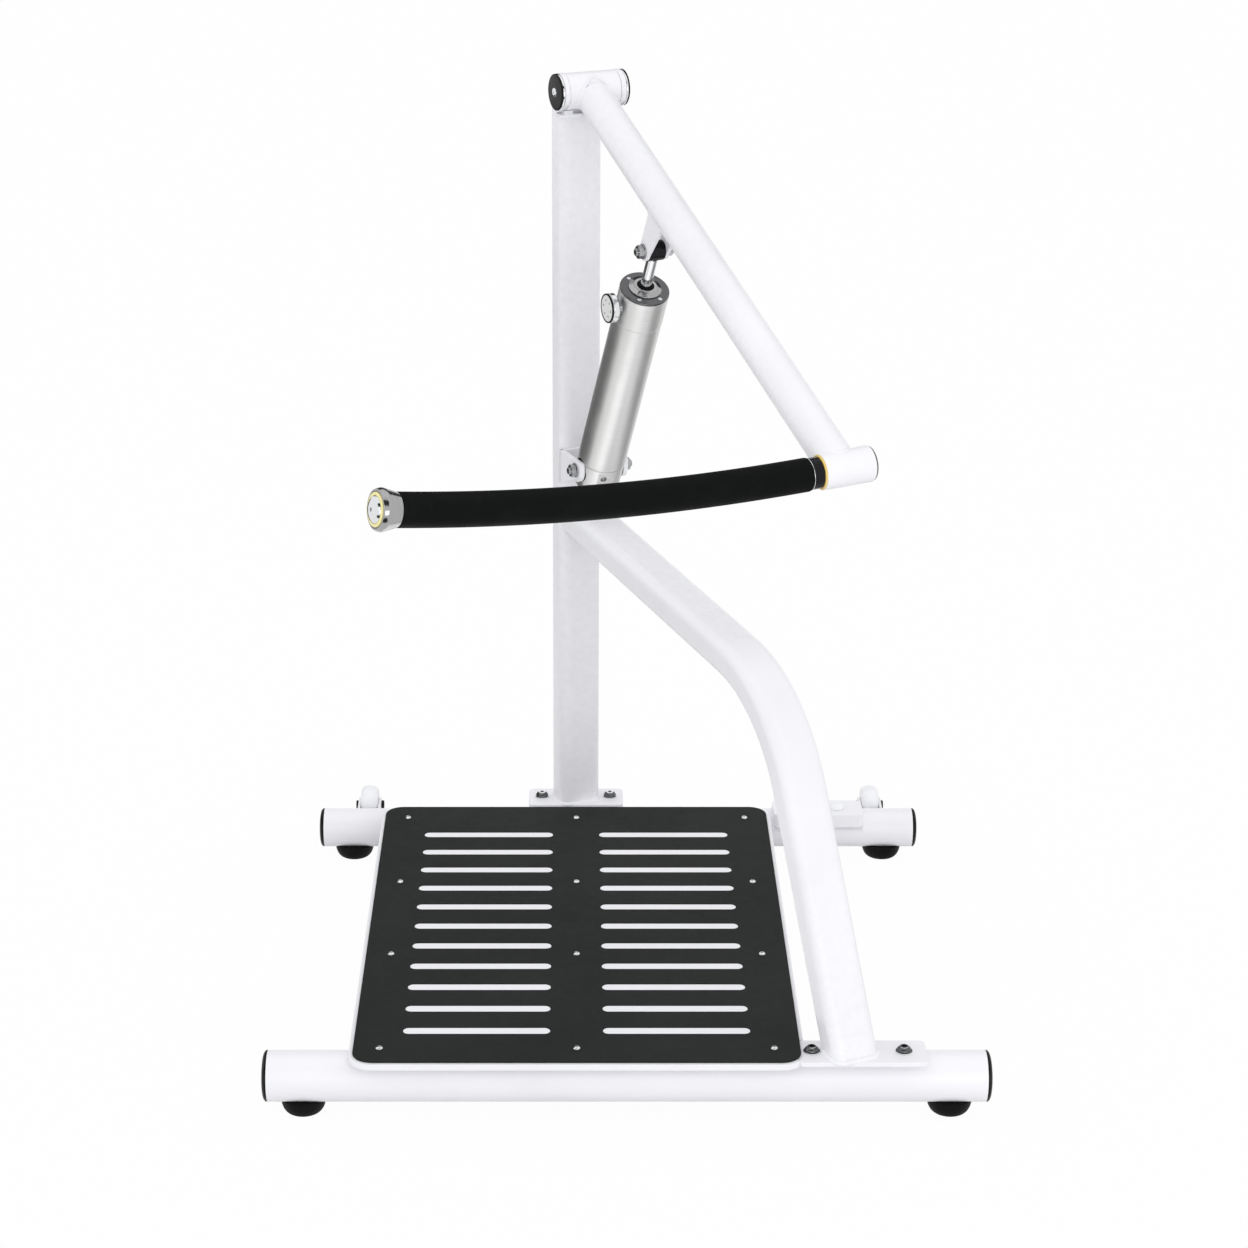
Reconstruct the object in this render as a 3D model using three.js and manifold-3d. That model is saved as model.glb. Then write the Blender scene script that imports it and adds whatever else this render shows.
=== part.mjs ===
// Standing shoulder press machine with one hydraulic cylinder.
// Millimetres, +Z up. X runs to the user's right, -Y is the front, and the mast stands at the back.
import * as THREE from 'three';
import { mergeVertices } from 'three/addons/utils/BufferGeometryUtils.js';
import Module from 'manifold-3d';

const wasm = await Module();
wasm.setup();

// Fits
const seatGap = 0.3;
const slidingGap = 0.5;
const cutOverrun = 4;

// Base: two round cross tubes, set to the right of the platform's centre
const crossTubeSpacing = 900;
const crossTubeShift = 74;
const frontTubeDiameter = 76;
const frontTubeLength = 1063;
const rearTubeDiameter = 67;
const rearTubeLength = 1033;
const crossTubeWall = 3;
const endCapDome = 8;
const endCapRim = 3;
const endCapPlug = 14;
const endCapEase = 1;
const endCapFullness = 0.5;

// Feet
const footDiameter = 68;
const footSoleDiameter = 44;
const footClearance = 18;
const footRimRise = 7;
const footInset = 52;
const footScrewDiameter = 8;
const footScrewHeadDiameter = 15;
const footScrewHeadHeight = 5;
const footRecessDepth = 7;
const footScrewGrip = 9;

// Platform: step plate on a deck with a folded lip, on three notched rails
const plateWidth = 660;
const plateLength = 913;
const plateCentreY = -42.5;
const plateThickness = 3;
const plateCornerRadius = 30;
const plateHeight = 107;
const slotLength = 220;
const slotWidth = 19;
const slotPitch = 70.2;
const slotRows = 11;
const slotCentreX = 149;
const slotFieldShift = -11.5;
const deckRim = 6;
const deckThickness = 3;
const deckLip = 9;
const screwColumnX = 291;
const screwFrontMargin = 40;
const screwBackMargin = 46;
const screwRowShares = [0, 0.371, 0.689, 1];
const screwHeadDiameter = 11;
const screwHeadHeight = 2.4;
const railWidth = 40;
const railHeight = 55;
const railWall = 3;
const railX = 279;

// Mounting pads and bolted flanges
const padRise = 1.5;
const padSaddleDrop = 16;
const padMargin = 3;
const rearPadRise = 10;
const flangeDepth = 70;
const flangeCornerRadius = 10;
const flangeVentDiameter = 30;
const mastFlangeWidth = 165;
const mastFlangeThickness = 12;
const mastFlangeSetback = 8;
const mastBoltSpacing = 119;
const braceFlangeWidth = 191;
const braceFlangeThickness = 7;
const braceFlangeX = 420.5;
const braceFlangeAdvance = 12;
const braceBoltSpacing = 136;
const braceBoltShift = -6.5;
const sparePadX = 424;
const sparePadWidth = 162;
const sparePadAdvance = 8;
const sparePadRise = 8;
const spareBoltSpacing = 66;
const spareCapDiameter = 28;
const spareCapHeight = 9;
const spareCapFullness = 0.6;
const frameBoltDiameter = 12;
const frameBoltHeadDiameter = 21.5;
const frameBoltHeadHeight = 7;
const frameBoltSocket = 4.2;
const frameWasherDiameter = 25;
const frameWasherThickness = 2;
const frameBoltGrip = 24;

// Mast and brace share one rounded rectangular tube, turned into the plane of the arm
const spineWidth = 74;
const spineDepth = 54;
const spineCornerRadius = 17;
const spineWall = 3;
const braceFootX = 402;
const braceTopSlope = 4.3;
const braceFootSlope = 63;
const braceBendRadius = 260;

// Pivot head at the top of the mast, and how far below it the mast, the cylinder's pin and the brace start
const pivotAdvance = 51.3;
const pivotHeight = 1360.5;
const mastDrop = 42.5;
const lowerPinDrop = 618.4;
const braceDrop = 723.5;
const pivotTubeDiameter = 58;
const pivotTubeWall = 6;
const pivotTubeLength = 88;
const yokeEarThickness = 8.5;
const yokeEarRadius = 30;
const yokePlateThickness = 6;
const yokeFootAdvance = 41;
const yokeFootRadius = 15;
const pivotAxleDiameter = 25;
const pivotBushLength = 26;
const pivotBushSetback = 2;
const pivotRingDiameter = 59;
const pivotRingThickness = 3.5;
const pivotCapThickness = 2.6;
const pivotCapDiameter = 58;
const pivotCapDome = 1.6;
const pivotCapBoltDiameter = 10;
const pivotCapBoltHead = 1.6;

// Arm, from the pivot down to the handle hub
const armLength = 946.7;
const armDrop = 23.93;
const armDiameter = 57;
const armWall = 4;
const hubDiameter = 52;
const hubWall = 4;
const hubReachLeft = 30;
const hubReachRight = 42;
const hubTilt = 3;

// Cylinder ears under the arm
const earAlong = 313.4;
const earBelow = 87.7;
const earEndRadius = 15;
const earRootLength = 50;
const earRootShift = 14;
const earThickness = 6;
const earGap = 26;
const earSink = 12;

// Cylinder bracket on the front of the mast
const lowerPinAdvance = 96.5;
const bracketGap = 70;
const bracketThickness = 8;
const bracketWeb = 6;
const bracketHeight = 84;
const bracketEarRadius = 20;

// Pivot bolts of the cylinder
const pinDiameter = 12;
const pinNutWidth = 19;
const pinNutHeight = 8;
const pinWasherDiameter = 24;
const pinWasherThickness = 2;
const pinEndLength = 4;
const pinBoreGap = 0.3;

// Hydraulic cylinder, measured from its lower pin along its axis
const barrelDiameter = 79;
const barrelWall = 4;
const barrelStart = 26;
const headLength = 66;
const headDiameter = 80;
const coverThickness = 10;
const coverToUpperPin = 75.7;
const coverChamfer = 2.5;
const glandDiameter = 42;
const glandHeight = 6;
const glandFloor = 3;
const sealDiameter = 27;
const sealHeight = 8;
const coverScrewCount = 3;
const coverScrewCircle = 64;
const coverScrewDiameter = 7;
const coverScrewHeight = 2;
const coverScrewTurn = 35;
const baseBlockWidth = 69;
const baseBlockDiameter = 77;
const baseBlockDrop = 28;
const baseBlockEndRadius = 33;
const openPivotPlay = 14;
const basePortDiameter = 9;
const basePortDepth = 10;
const basePortDrop = 8;
const rodDiameter = 18;
const rodEyeDiameter = 32;
const rodEyeWidth = 25;
const rodNeckDiameter = 22;
const rodNeckLength = 10;
const pistonStart = 34;
const pistonThickness = 22;
const pistonGap = 0.4;
const pistonGrooveDepth = 2;
const pistonGrooveWidth = 5;

// Resistance dial on the left of the cylinder head
const dialBelowCover = 34;
const dialStemDiameter = 16;
const dialStandOff = 5;
const dialDiameter = 47;
const dialThickness = 14;
const dialChamfer = 2;
const dialFaceDiameter = 39;
const dialFaceThickness = 2;
const dialFaceInset = 1;
const dialSeatFlat = 30;

// Handle, measured along the bar from the middle of the hub
const barDiameter = 38;
const barWall = 4;
const barCamberRadius = 2720;
const barTail = 38;
const innerCollarEnd = 50;
const innerCollarDiameter = 46;
const gripDiameter = 48;
const gripEnd = 667;
const tipCollarEnd = 693;
const tipCollarDiameter = 60;
const tipCollarRoot = 50;
const tipCollarNeck = 4;
const tipCollarFlare = 12.3;
const tipCollarBand = 16;
const tipCollarBandWidth = 6;
const tipCollarEase = 2.1;
const tipRingDiameter = 46.5;
const tipRingThickness = 3;
const tipPlugDiameter = 37;
const tipPlugDome = 11;
const tipPlugFullness = 0.7;
const tipPlugShank = 26;
const tipPlugHole = 8;
const tipPlugHoleDepth = 8;
const hubBushWall = 2.6;
const hubBushLength = 22;
const hubBushFlange = 3;
const hubCapThickness = 3;
const hubCapDiameter = 50;
const hubCapPlug = 10;

// Transport wheels behind the rear tube
const wheelDiameter = 74;
const wheelWidth = 30;
const wheelRound = 10;
const wheelLeftX = -367;
const wheelRightX = 523;
const wheelSetback = 76;
const wheelAxleHeight = 61;
const wheelBoltDiameter = 10;
const wheelBoreGap = 0.25;
const wheelEarThickness = 4.5;
const wheelEarRadius = 20;
const wheelEarRoot = 44;
const wheelBoltHead = 17;
const wheelBoltHeadHeight = 5;

// Facets
const tubeSides = 28;
const roundSides = 20;
const mediumSides = 12;
const smallSides = 8;
const screwSides = 8;
const hexSides = 6;
const cornerSteps = 2;
const innerCornerSteps = 1;
const slotSteps = 2;
const ringSteps = 10;
const bendSteps = 6;
const camberSteps = 6;
const domeSteps = 2;

// Places that several pieces share
const frontRadius = frontTubeDiameter / 2;
const rearRadius = rearTubeDiameter / 2;
const frontTubeY = -crossTubeSpacing / 2;
const rearTubeY = crossTubeSpacing / 2;
const frontTubeZ = footClearance + frontRadius;
const rearTubeZ = footClearance + rearRadius;
const frontCrest = frontTubeZ + frontRadius;
const rearCrest = rearTubeZ + rearRadius;
const deckTop = plateHeight - plateThickness - seatGap;
const mastY = rearTubeY + mastFlangeSetback;
const braceFootY = frontTubeY - braceFlangeAdvance;
const mastPadTop = rearCrest + rearPadRise;
const mastFlangeBottom = mastPadTop + seatGap;
const mastFlangeTop = mastFlangeBottom + mastFlangeThickness;
const bracePadTop = frontCrest + padRise;
const braceFlangeBottom = bracePadTop + seatGap;
const braceFlangeTop = braceFlangeBottom + braceFlangeThickness;
const mastHeight = pivotHeight - mastDrop;
const lowerPinHeight = pivotHeight - lowerPinDrop;
const braceTopHeight = pivotHeight - braceDrop;
const spineAngle = Math.atan2(braceFootX, mastY - braceFootY);
const spineRun = Math.hypot(braceFootX, mastY - braceFootY);
const pivotRadius = pivotTubeDiameter / 2;
const yokeInner = pivotTubeLength / 2 + slidingGap;
const yokeOuter = yokeInner + yokeEarThickness;
const ringOuter = yokeOuter + seatGap + pivotRingThickness;
const armAngle = THREE.MathUtils.degToRad(armDrop);
const earX = pivotAdvance + earAlong * Math.cos(armAngle) - earBelow * Math.sin(armAngle);
const earZ = pivotHeight - earAlong * Math.sin(armAngle) - earBelow * Math.cos(armAngle);
const cylinderAngle = Math.atan2(earX - lowerPinAdvance, earZ - lowerPinHeight);
const cylinderLength = Math.hypot(earX - lowerPinAdvance, earZ - lowerPinHeight);
const coverEnd = cylinderLength - coverToUpperPin;
const headEnd = coverEnd - coverThickness;
const headStart = headEnd - headLength;
const dialHeight = coverEnd - dialBelowCover;
const barrelRadius = barrelDiameter / 2;
const headRadius = headDiameter / 2;
const rodRadius = rodDiameter / 2;
const rodBore = rodRadius + seatGap;
const bracketOuter = bracketGap / 2 + bracketThickness;
const hubBore = hubDiameter / 2 - hubWall;
const barRadius = barDiameter / 2;

// Colours and finishes
const finishes = {
  whitePaint: { color: 0xeff0f6, roughness: 0.34, metalness: 0 },
  blackPlate: { color: 0x32332f, roughness: 0.5, metalness: 0.3 },
  blackPlastic: { color: 0x101011, roughness: 0.35, metalness: 0 },
  rubber: { color: 0x0e0e0f, roughness: 0.75, metalness: 0 },
  brushed: { color: 0xb9bbbd, roughness: 0.32, metalness: 1 },
  darkMetal: { color: 0x55565a, roughness: 0.3, metalness: 1 },
  chrome: { color: 0xdcdee0, roughness: 0.08, metalness: 1 },
  zinc: { color: 0xa7a8aa, roughness: 0.3, metalness: 1 },
  bronze: { color: 0xc9a24a, roughness: 0.3, metalness: 1 },
  whiteNylon: { color: 0xeceef2, roughness: 0.45, metalness: 0 },
  dialFace: { color: 0xe2e3e2, roughness: 0.4, metalness: 0 },
};
const materials = Object.fromEntries(
  Object.entries(finishes).map(([name, look]) => [name, new THREE.MeshStandardMaterial(look)]),
);

// Solids: three.js shapes in, three.js shapes out, with joins and cuts between
function toSolid(geometry) {
  const bare = geometry.clone();
  bare.deleteAttribute('normal');
  bare.deleteAttribute('uv');
  const merged = mergeVertices(bare);
  return new wasm.Manifold(new wasm.Mesh({
    numProp: 3,
    vertProperties: new Float32Array(merged.attributes.position.array),
    triVerts: new Uint32Array(merged.index.array),
  }));
}

function toGeometry(solid) {
  const mesh = solid.getMesh();
  const geometry = new THREE.BufferGeometry();
  geometry.setAttribute('position', new THREE.BufferAttribute(new Float32Array(mesh.vertProperties), 3));
  geometry.setIndex(new THREE.BufferAttribute(new Uint32Array(mesh.triVerts), 1));
  geometry.computeVertexNormals();
  return geometry;
}

function join(...geometries) {
  return toGeometry(geometries.map(toSolid).reduce((sum, solid) => sum.add(solid)));
}

function cut(body, ...tools) {
  return toGeometry(tools.map(toSolid).reduce((rest, tool) => rest.subtract(tool), toSolid(body)));
}

function common(body, other) {
  return toGeometry(toSolid(body).intersect(toSolid(other)));
}

// A box between two corners
function block(x0, x1, y0, y1, z0, z1) {
  const box = new THREE.BoxGeometry(x1 - x0, y1 - y0, z1 - z0);
  return box.translate((x0 + x1) / 2, (y0 + y1) / 2, (z0 + z1) / 2);
}

// A turned body: profile points are [radius, height] and the axis is +Z
function turned(points, sides) {
  const profile = points.map(([radius, height]) => new THREE.Vector2(radius, height));
  return new THREE.LatheGeometry(profile, sides).rotateX(Math.PI / 2);
}

function disc(radius, z0, z1, sides) {
  return turned([[0, z0], [radius, z0], [radius, z1], [0, z1]], sides);
}

// Corner radius of a faceted hole that a round bar of this radius fits, however the facets are turned
function clearOf(radius, sides) {
  return radius / Math.cos(Math.PI / sides);
}

function drill(radius, z0, z1, sides) {
  return disc(clearOf(radius, sides), z0, z1, sides);
}

function sleeve(inner, outer, z0, z1, sides) {
  return turned([[inner, z0], [outer, z0], [outer, z1], [inner, z1], [inner, z0]], sides);
}

// Turns a body that stands on +Z so that it lies along +Y or +X
function alongY(geometry) {
  return geometry.rotateX(-Math.PI / 2);
}

function alongX(geometry) {
  return geometry.rotateY(Math.PI / 2);
}

// Rounded rectangle outline, centred, as a Shape
function roundedRectangle(width, depth, radius) {
  const shape = new THREE.Shape();
  const cx = width / 2 - radius;
  const cy = depth / 2 - radius;
  shape.absarc(cx, cy, radius, 0, Math.PI / 2);
  shape.absarc(-cx, cy, radius, Math.PI / 2, Math.PI);
  shape.absarc(-cx, -cy, radius, Math.PI, Math.PI * 3 / 2);
  shape.absarc(cx, -cy, radius, Math.PI * 3 / 2, Math.PI * 2);
  shape.closePath();
  return shape;
}

function upright(shape, z0, z1, steps = cornerSteps) {
  const settings = { depth: z1 - z0, bevelEnabled: false, curveSegments: steps };
  return new THREE.ExtrudeGeometry(shape, settings).translate(0, 0, z0);
}

// A side profile drawn as (x, z), standing between two y values
function sideways(shape, y0, y1, steps = cornerSteps) {
  const settings = { depth: y1 - y0, bevelEnabled: false, curveSegments: steps };
  return new THREE.ExtrudeGeometry(shape, settings).rotateX(Math.PI / 2).translate(0, y1, 0);
}

// Outline around two circles, each given as [x, z, radius]
function tangentOutline(first, second) {
  const [ax, az, ar] = first;
  const [bx, bz, br] = second;
  const heading = Math.atan2(bz - az, bx - ax);
  const lean = Math.acos((ar - br) / Math.hypot(bx - ax, bz - az));
  const shape = new THREE.Shape();
  shape.absarc(ax, az, ar, heading + lean, heading - lean + Math.PI * 2);
  shape.absarc(bx, bz, br, heading - lean, heading + lean);
  shape.closePath();
  return shape;
}

// A path in the x-z plane with its own stations, so straight runs take one step
class StationPath extends THREE.Curve {
  constructor(points) {
    super();
    this.points = points;
  }

  getPoint(u) {
    const place = u * (this.points.length - 1);
    const index = Math.min(Math.floor(place), this.points.length - 2);
    return this.points[index].clone().lerp(this.points[index + 1], place - index);
  }

  getPointAt(u) {
    return this.getPoint(u);
  }

  getTangentAt(u) {
    const place = Math.round(u * (this.points.length - 1));
    const before = this.points[Math.max(place - 1, 0)];
    const after = this.points[Math.min(place + 1, this.points.length - 1)];
    const into = this.points[place].clone().sub(before).normalize();
    const out = after.clone().sub(this.points[place]).normalize();
    return into.add(out).normalize();
  }
}

function swept(shape, points, steps = cornerSteps) {
  const extrudePath = new StationPath(points);
  const settings = { extrudePath, steps: points.length - 1, curveSegments: steps };
  return new THREE.ExtrudeGeometry(shape, settings);
}

function ringShape(outer, inner) {
  const shape = new THREE.Shape();
  shape.absarc(0, 0, outer, 0, Math.PI * 2);
  if (inner > 0) {
    const hole = new THREE.Path();
    hole.absarc(0, 0, inner, 0, Math.PI * 2);
    shape.holes.push(hole);
  }
  return shape;
}

// A button head bolt with its washer, standing on z = 0 with its shank below
function buttonBolt(grip) {
  const head = frameBoltHeadDiameter / 2;
  const top = frameWasherThickness + frameBoltHeadHeight;
  const shank = frameBoltDiameter / 2;
  const body = turned([
    [0, -grip], [shank, -grip], [shank, 0], [frameWasherDiameter / 2, 0],
    [frameWasherDiameter / 2, frameWasherThickness], [head, frameWasherThickness],
    [head, frameWasherThickness + frameBoltHeadHeight / 3], [head / 2, top], [0, top],
  ], mediumSides);
  return cut(body, disc(frameBoltSocket, top - frameBoltHeadHeight / 2, top + cutOverrun, hexSides));
}

// A hexagon nut or head between two heights
function hexagon(width, z0, z1) {
  return disc(width / Math.sqrt(3), z0, z1, hexSides);
}

const model = new THREE.Group();
const spine = new THREE.Group();
spine.position.set(0, mastY, 0);
spine.rotation.z = spineAngle - Math.PI / 2;
model.add(spine);

function add(parent, name, geometry, material) {
  const mesh = new THREE.Mesh(toGeometry(toSolid(geometry)), materials[material]);
  mesh.name = name;
  parent.add(mesh);
  return mesh;
}

// A cross tube with what is welded on it, drilled for the feet's screws below and the flange bolts above
function crossTube(radius, length, z, y, welded, boltX, boltY) {
  const start = crossTubeShift - length / 2;
  const tube = alongX(sleeve(radius - crossTubeWall, radius, start, start + length, tubeSides));
  const footHoles = footPlaces(length).map((x) => drill(
    footScrewDiameter / 2 + seatGap, 0, z, smallSides,
  ).translate(x, y, 0));
  const boltHoles = boltX.map((x) => drill(
    frameBoltDiameter / 2 + seatGap, z, plateHeight + cutOverrun, smallSides,
  ).translate(x, boltY, 0));
  return cut(join(tube.translate(0, y, z), ...welded), ...footHoles, ...boltHoles);
}

function footPlaces(length) {
  const reach = length / 2 - footInset;
  return [crossTubeShift - reach, crossTubeShift + reach];
}

function endCap(radius, side) {
  const bore = radius - crossTubeWall - seatGap;
  const rim = radius - endCapEase;
  const points = [
    [0, -endCapPlug], [bore, -endCapPlug], [bore, seatGap], [radius, seatGap], [radius, endCapRim],
  ];
  for (let step = 1; step < domeSteps; step += 1) {
    const turn = (step / domeSteps) * (Math.PI / 2);
    const height = endCapRim + (endCapDome - endCapRim) * Math.sin(turn);
    points.push([rim * Math.cos(turn) ** endCapFullness, height]);
  }
  points.push([0, endCapDome]);
  const cap = alongX(turned(points, roundSides));
  return side < 0 ? cap.rotateZ(Math.PI) : cap;
}

function foot(radius, z) {
  const rimZ = footClearance + footRimRise;
  const points = [[0, 0], [footSoleDiameter / 2, 0]];
  for (let step = 1; step <= domeSteps; step += 1) {
    const turn = (step / domeSteps) * (Math.PI / 2);
    const spread = (footDiameter - footSoleDiameter) / 2;
    points.push([footSoleDiameter / 2 + spread * Math.sin(turn), rimZ * (1 - Math.cos(turn))]);
  }
  points.push([0, rimZ]);
  const dish = turned(points, mediumSides);
  const tube = alongX(disc(radius + seatGap, -footDiameter, footDiameter, tubeSides)).translate(0, 0, z);
  const recess = disc(footScrewHeadDiameter / 2 + seatGap, -cutOverrun, footRecessDepth, smallSides);
  return join(cut(dish, tube, recess), footScrew());
}

// The screw is moulded into the foot, with its head in the recess below
function footScrew() {
  const headZ = footRecessDepth;
  const shank = footScrewDiameter / 2;
  const head = footScrewHeadDiameter / 2;
  return turned([
    [0, headZ - footScrewHeadHeight], [head, headZ - footScrewHeadHeight], [head, headZ],
    [shank, headZ], [shank, footClearance + footScrewGrip], [0, footClearance + footScrewGrip],
  ], smallSides);
}

function buildBase() {
  const braceBolts = pair(braceBoltSpacing).map((x) => x + braceFlangeX + braceBoltShift);
  const mastBolts = pair(mastBoltSpacing);
  const rows = [
    ['front', frontRadius, frontTubeLength, frontTubeZ, frontTubeY, frontFittings(), braceBolts, braceFootY],
    ['rear', rearRadius, rearTubeLength, rearTubeZ, rearTubeY, rearFittings(), mastBolts, mastY],
  ];
  for (const [row, radius, length, z, y, ...fittings] of rows) {
    add(model, `${row}_cross_tube`, crossTube(radius, length, z, y, ...fittings), 'whitePaint');
    footPlaces(length).forEach((x, index) => {
      const side = ['left', 'right'][index];
      const sign = [-1, 1][index];
      const cap = add(model, `${row}_${side}_end_cap`, endCap(radius, sign), 'blackPlastic');
      cap.position.set(crossTubeShift + sign * length / 2, y, z);
      const rest = add(model, `${row}_${side}_foot`, foot(radius, z), 'rubber');
      rest.position.set(x, y, 0);
    });
  }
}

// Platform
const railTop = deckTop - deckThickness - seatGap;
const plateBackY = plateCentreY + plateLength / 2;
const deckBackY = plateBackY + deckRim;
const slotFieldY = plateCentreY + slotFieldShift;

function screwPlaces() {
  const frontY = plateCentreY - plateLength / 2 + screwFrontMargin;
  const span = plateLength - screwFrontMargin - screwBackMargin;
  const rows = screwRowShares.map((share) => frontY + share * span);
  return [-screwColumnX, 0, screwColumnX].flatMap((x) => rows.map((y) => [x, y]));
}

function stepPlate() {
  const shape = roundedRectangle(plateWidth, plateLength, plateCornerRadius);
  const radius = slotWidth / 2;
  const reach = slotLength / 2 - radius;
  for (let row = 0; row < slotRows; row += 1) {
    const y = slotFieldY - plateCentreY + (row - (slotRows - 1) / 2) * slotPitch;
    for (const x of [-slotCentreX, slotCentreX]) {
      const slot = new THREE.Path();
      slot.absarc(x + reach, y, radius, -Math.PI / 2, Math.PI / 2);
      slot.absarc(x - reach, y, radius, Math.PI / 2, Math.PI * 3 / 2);
      slot.closePath();
      shape.holes.push(slot);
    }
  }
  const plate = upright(shape, plateHeight - plateThickness, plateHeight, slotSteps);
  plate.translate(0, plateCentreY, 0);
  return join(plate, ...screwPlaces().map(([x, y]) => platformScrew().translate(x, y, 0)));
}

function deck() {
  const outer = roundedRectangle(
    plateWidth + 2 * deckRim, plateLength + 2 * deckRim, plateCornerRadius + deckRim,
  );
  const inner = roundedRectangle(
    plateWidth + 2 * (deckRim - deckThickness), plateLength + 2 * (deckRim - deckThickness),
    plateCornerRadius + deckRim - deckThickness,
  );
  const slab = upright(outer, deckTop - deckLip, deckTop);
  const hollow = upright(inner, deckTop - deckLip - cutOverrun, deckTop - deckThickness);
  const pan = cut(slab, hollow).translate(0, plateCentreY, 0);
  const flangeRoom = roundedRectangle(
    braceFlangeWidth + 2 * slidingGap, flangeDepth + 2 * slidingGap, flangeCornerRadius + slidingGap,
  );
  const notch = upright(flangeRoom, 0, plateHeight).translate(braceFlangeX, braceFootY, 0);
  return cut(pan, notch);
}

function rail() {
  const half = railWidth / 2;
  const bottom = railTop - railHeight;
  const backY = rearTubeY;
  const outer = block(-half, half, frontTubeY, backY, bottom, railTop);
  const inner = block(
    railWall - half, half - railWall, frontTubeY - cutOverrun, backY + cutOverrun,
    bottom + railWall, railTop - railWall,
  );
  const lipStart = deckBackY - deckThickness - seatGap;
  const lipNotch = block(
    -railWidth, railWidth, lipStart, backY + cutOverrun, deckTop - deckLip - seatGap, railTop + cutOverrun,
  );
  const front = alongX(disc(frontRadius + seatGap, -railWidth, railWidth, tubeSides));
  const rear = alongX(disc(rearRadius + seatGap, -railWidth, railWidth, tubeSides));
  const flangeStart = mastY - flangeDepth / 2;
  const flangeRoom = block(-railWidth, railWidth, flangeStart, backY + cutOverrun, 0, plateHeight);
  return cut(
    outer, inner, lipNotch, flangeRoom,
    front.translate(0, frontTubeY, frontTubeZ), rear.translate(0, rearTubeY, rearTubeZ),
  );
}

function platformScrew() {
  const head = screwHeadDiameter / 2;
  const top = plateHeight + screwHeadHeight;
  return turned([
    [0, plateHeight - plateThickness / 2], [head, plateHeight - plateThickness / 2],
    [head, plateHeight + screwHeadHeight / 2], [head / 2, top], [0, top],
  ], screwSides);
}

function buildPlatform() {
  add(model, 'platform_plate', stepPlate(), 'blackPlate');
  add(model, 'platform_deck', deck(), 'whitePaint');
  for (const [name, x] of [['left', -railX], ['centre', 0], ['right', railX]]) {
    add(model, `platform_rail_${name}`, rail(), 'whitePaint').position.x = x;
  }
}

// Mounting pads: flat on top, welded in a saddle on the tube below
function pad(width, top, advance, radius, tubeY, tubeZ) {
  const shape = roundedRectangle(width - 2 * padMargin, flangeDepth - 2 * padMargin, flangeCornerRadius);
  const body = upright(shape, tubeZ + radius - padSaddleDrop, top).translate(0, tubeY + advance, 0);
  const bore = alongX(disc(radius - crossTubeWall / 2, -width, width, roundSides));
  return cut(body, bore.translate(0, tubeY, tubeZ));
}

function frontFittings() {
  const bracePad = pad(
    braceFlangeWidth, bracePadTop, -braceFlangeAdvance, frontRadius, frontTubeY, frontTubeZ,
  );
  return [bracePad.translate(braceFlangeX, 0, 0)];
}

function rearFittings() {
  const mastPad = pad(mastFlangeWidth, mastPadTop, mastFlangeSetback, rearRadius, rearTubeY, rearTubeZ);
  const sparePad = pad(
    sparePadWidth, rearCrest + sparePadRise, -sparePadAdvance, rearRadius, rearTubeY, rearTubeZ,
  );
  const ears = [wheelLeftX, wheelRightX].flatMap((x) => wheelEars().map((ear) => ear.translate(
    x, rearTubeY + wheelSetback, wheelAxleHeight,
  )));
  return [mastPad, sparePad.translate(sparePadX, 0, 0), ...ears];
}

function flange(width, z0, thickness, bolts, shift) {
  const body = upright(roundedRectangle(width, flangeDepth, flangeCornerRadius), z0, z0 + thickness);
  body.translate(shift, 0, 0);
  const holes = bolts.map((x) => drill(
    frameBoltDiameter / 2 + seatGap, z0 - cutOverrun, z0 + thickness + cutOverrun, smallSides,
  ).translate(x + shift, 0, 0));
  const vent = disc(flangeVentDiameter / 2, z0 - cutOverrun, z0 + thickness + cutOverrun, smallSides);
  return cut(body, vent, ...holes);
}

function pair(spacing) {
  return [-spacing / 2, spacing / 2];
}

function spareCap() {
  const radius = spareCapDiameter / 2;
  const points = [[0, seatGap], [radius, seatGap]];
  for (let step = 1; step < domeSteps; step += 1) {
    const turn = (step / domeSteps) * (Math.PI / 2);
    points.push([radius * Math.cos(turn) ** spareCapFullness, spareCapHeight * Math.sin(turn)]);
  }
  points.push([0, spareCapHeight]);
  return turned(points, roundSides);
}

// Two copies of a piece, one at each side of a middle
function addPair(name, spacing, geometry, material, x, y, z) {
  for (const [side, sign] of [['left', -1], ['right', 1]]) {
    add(model, `${name}_${side}`, geometry, material).position.set(x + sign * spacing / 2, y, z);
  }
}

function buildSpareCaps() {
  const y = rearTubeY - sparePadAdvance;
  const z = rearCrest + sparePadRise;
  addPair('spare_pad_cap', spareBoltSpacing, spareCap(), 'whiteNylon', sparePadX, y, z);
}

// Mast: tube, base flange and the yoke, whose bridge lies on the tube and carries the two ears that
// hold the pivot axle
function spineTube(width, depth, radius) {
  const shape = roundedRectangle(width, depth, radius);
  const hole = roundedRectangle(width - 2 * spineWall, depth - 2 * spineWall, radius - spineWall);
  shape.holes.push(new THREE.Path(hole.getPoints(innerCornerSteps)));
  return shape;
}

// Flanges stay square to the cross tubes while the spine is turned
function squareToBase(geometry) {
  return geometry.rotateZ(Math.PI / 2 - spineAngle);
}

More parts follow.
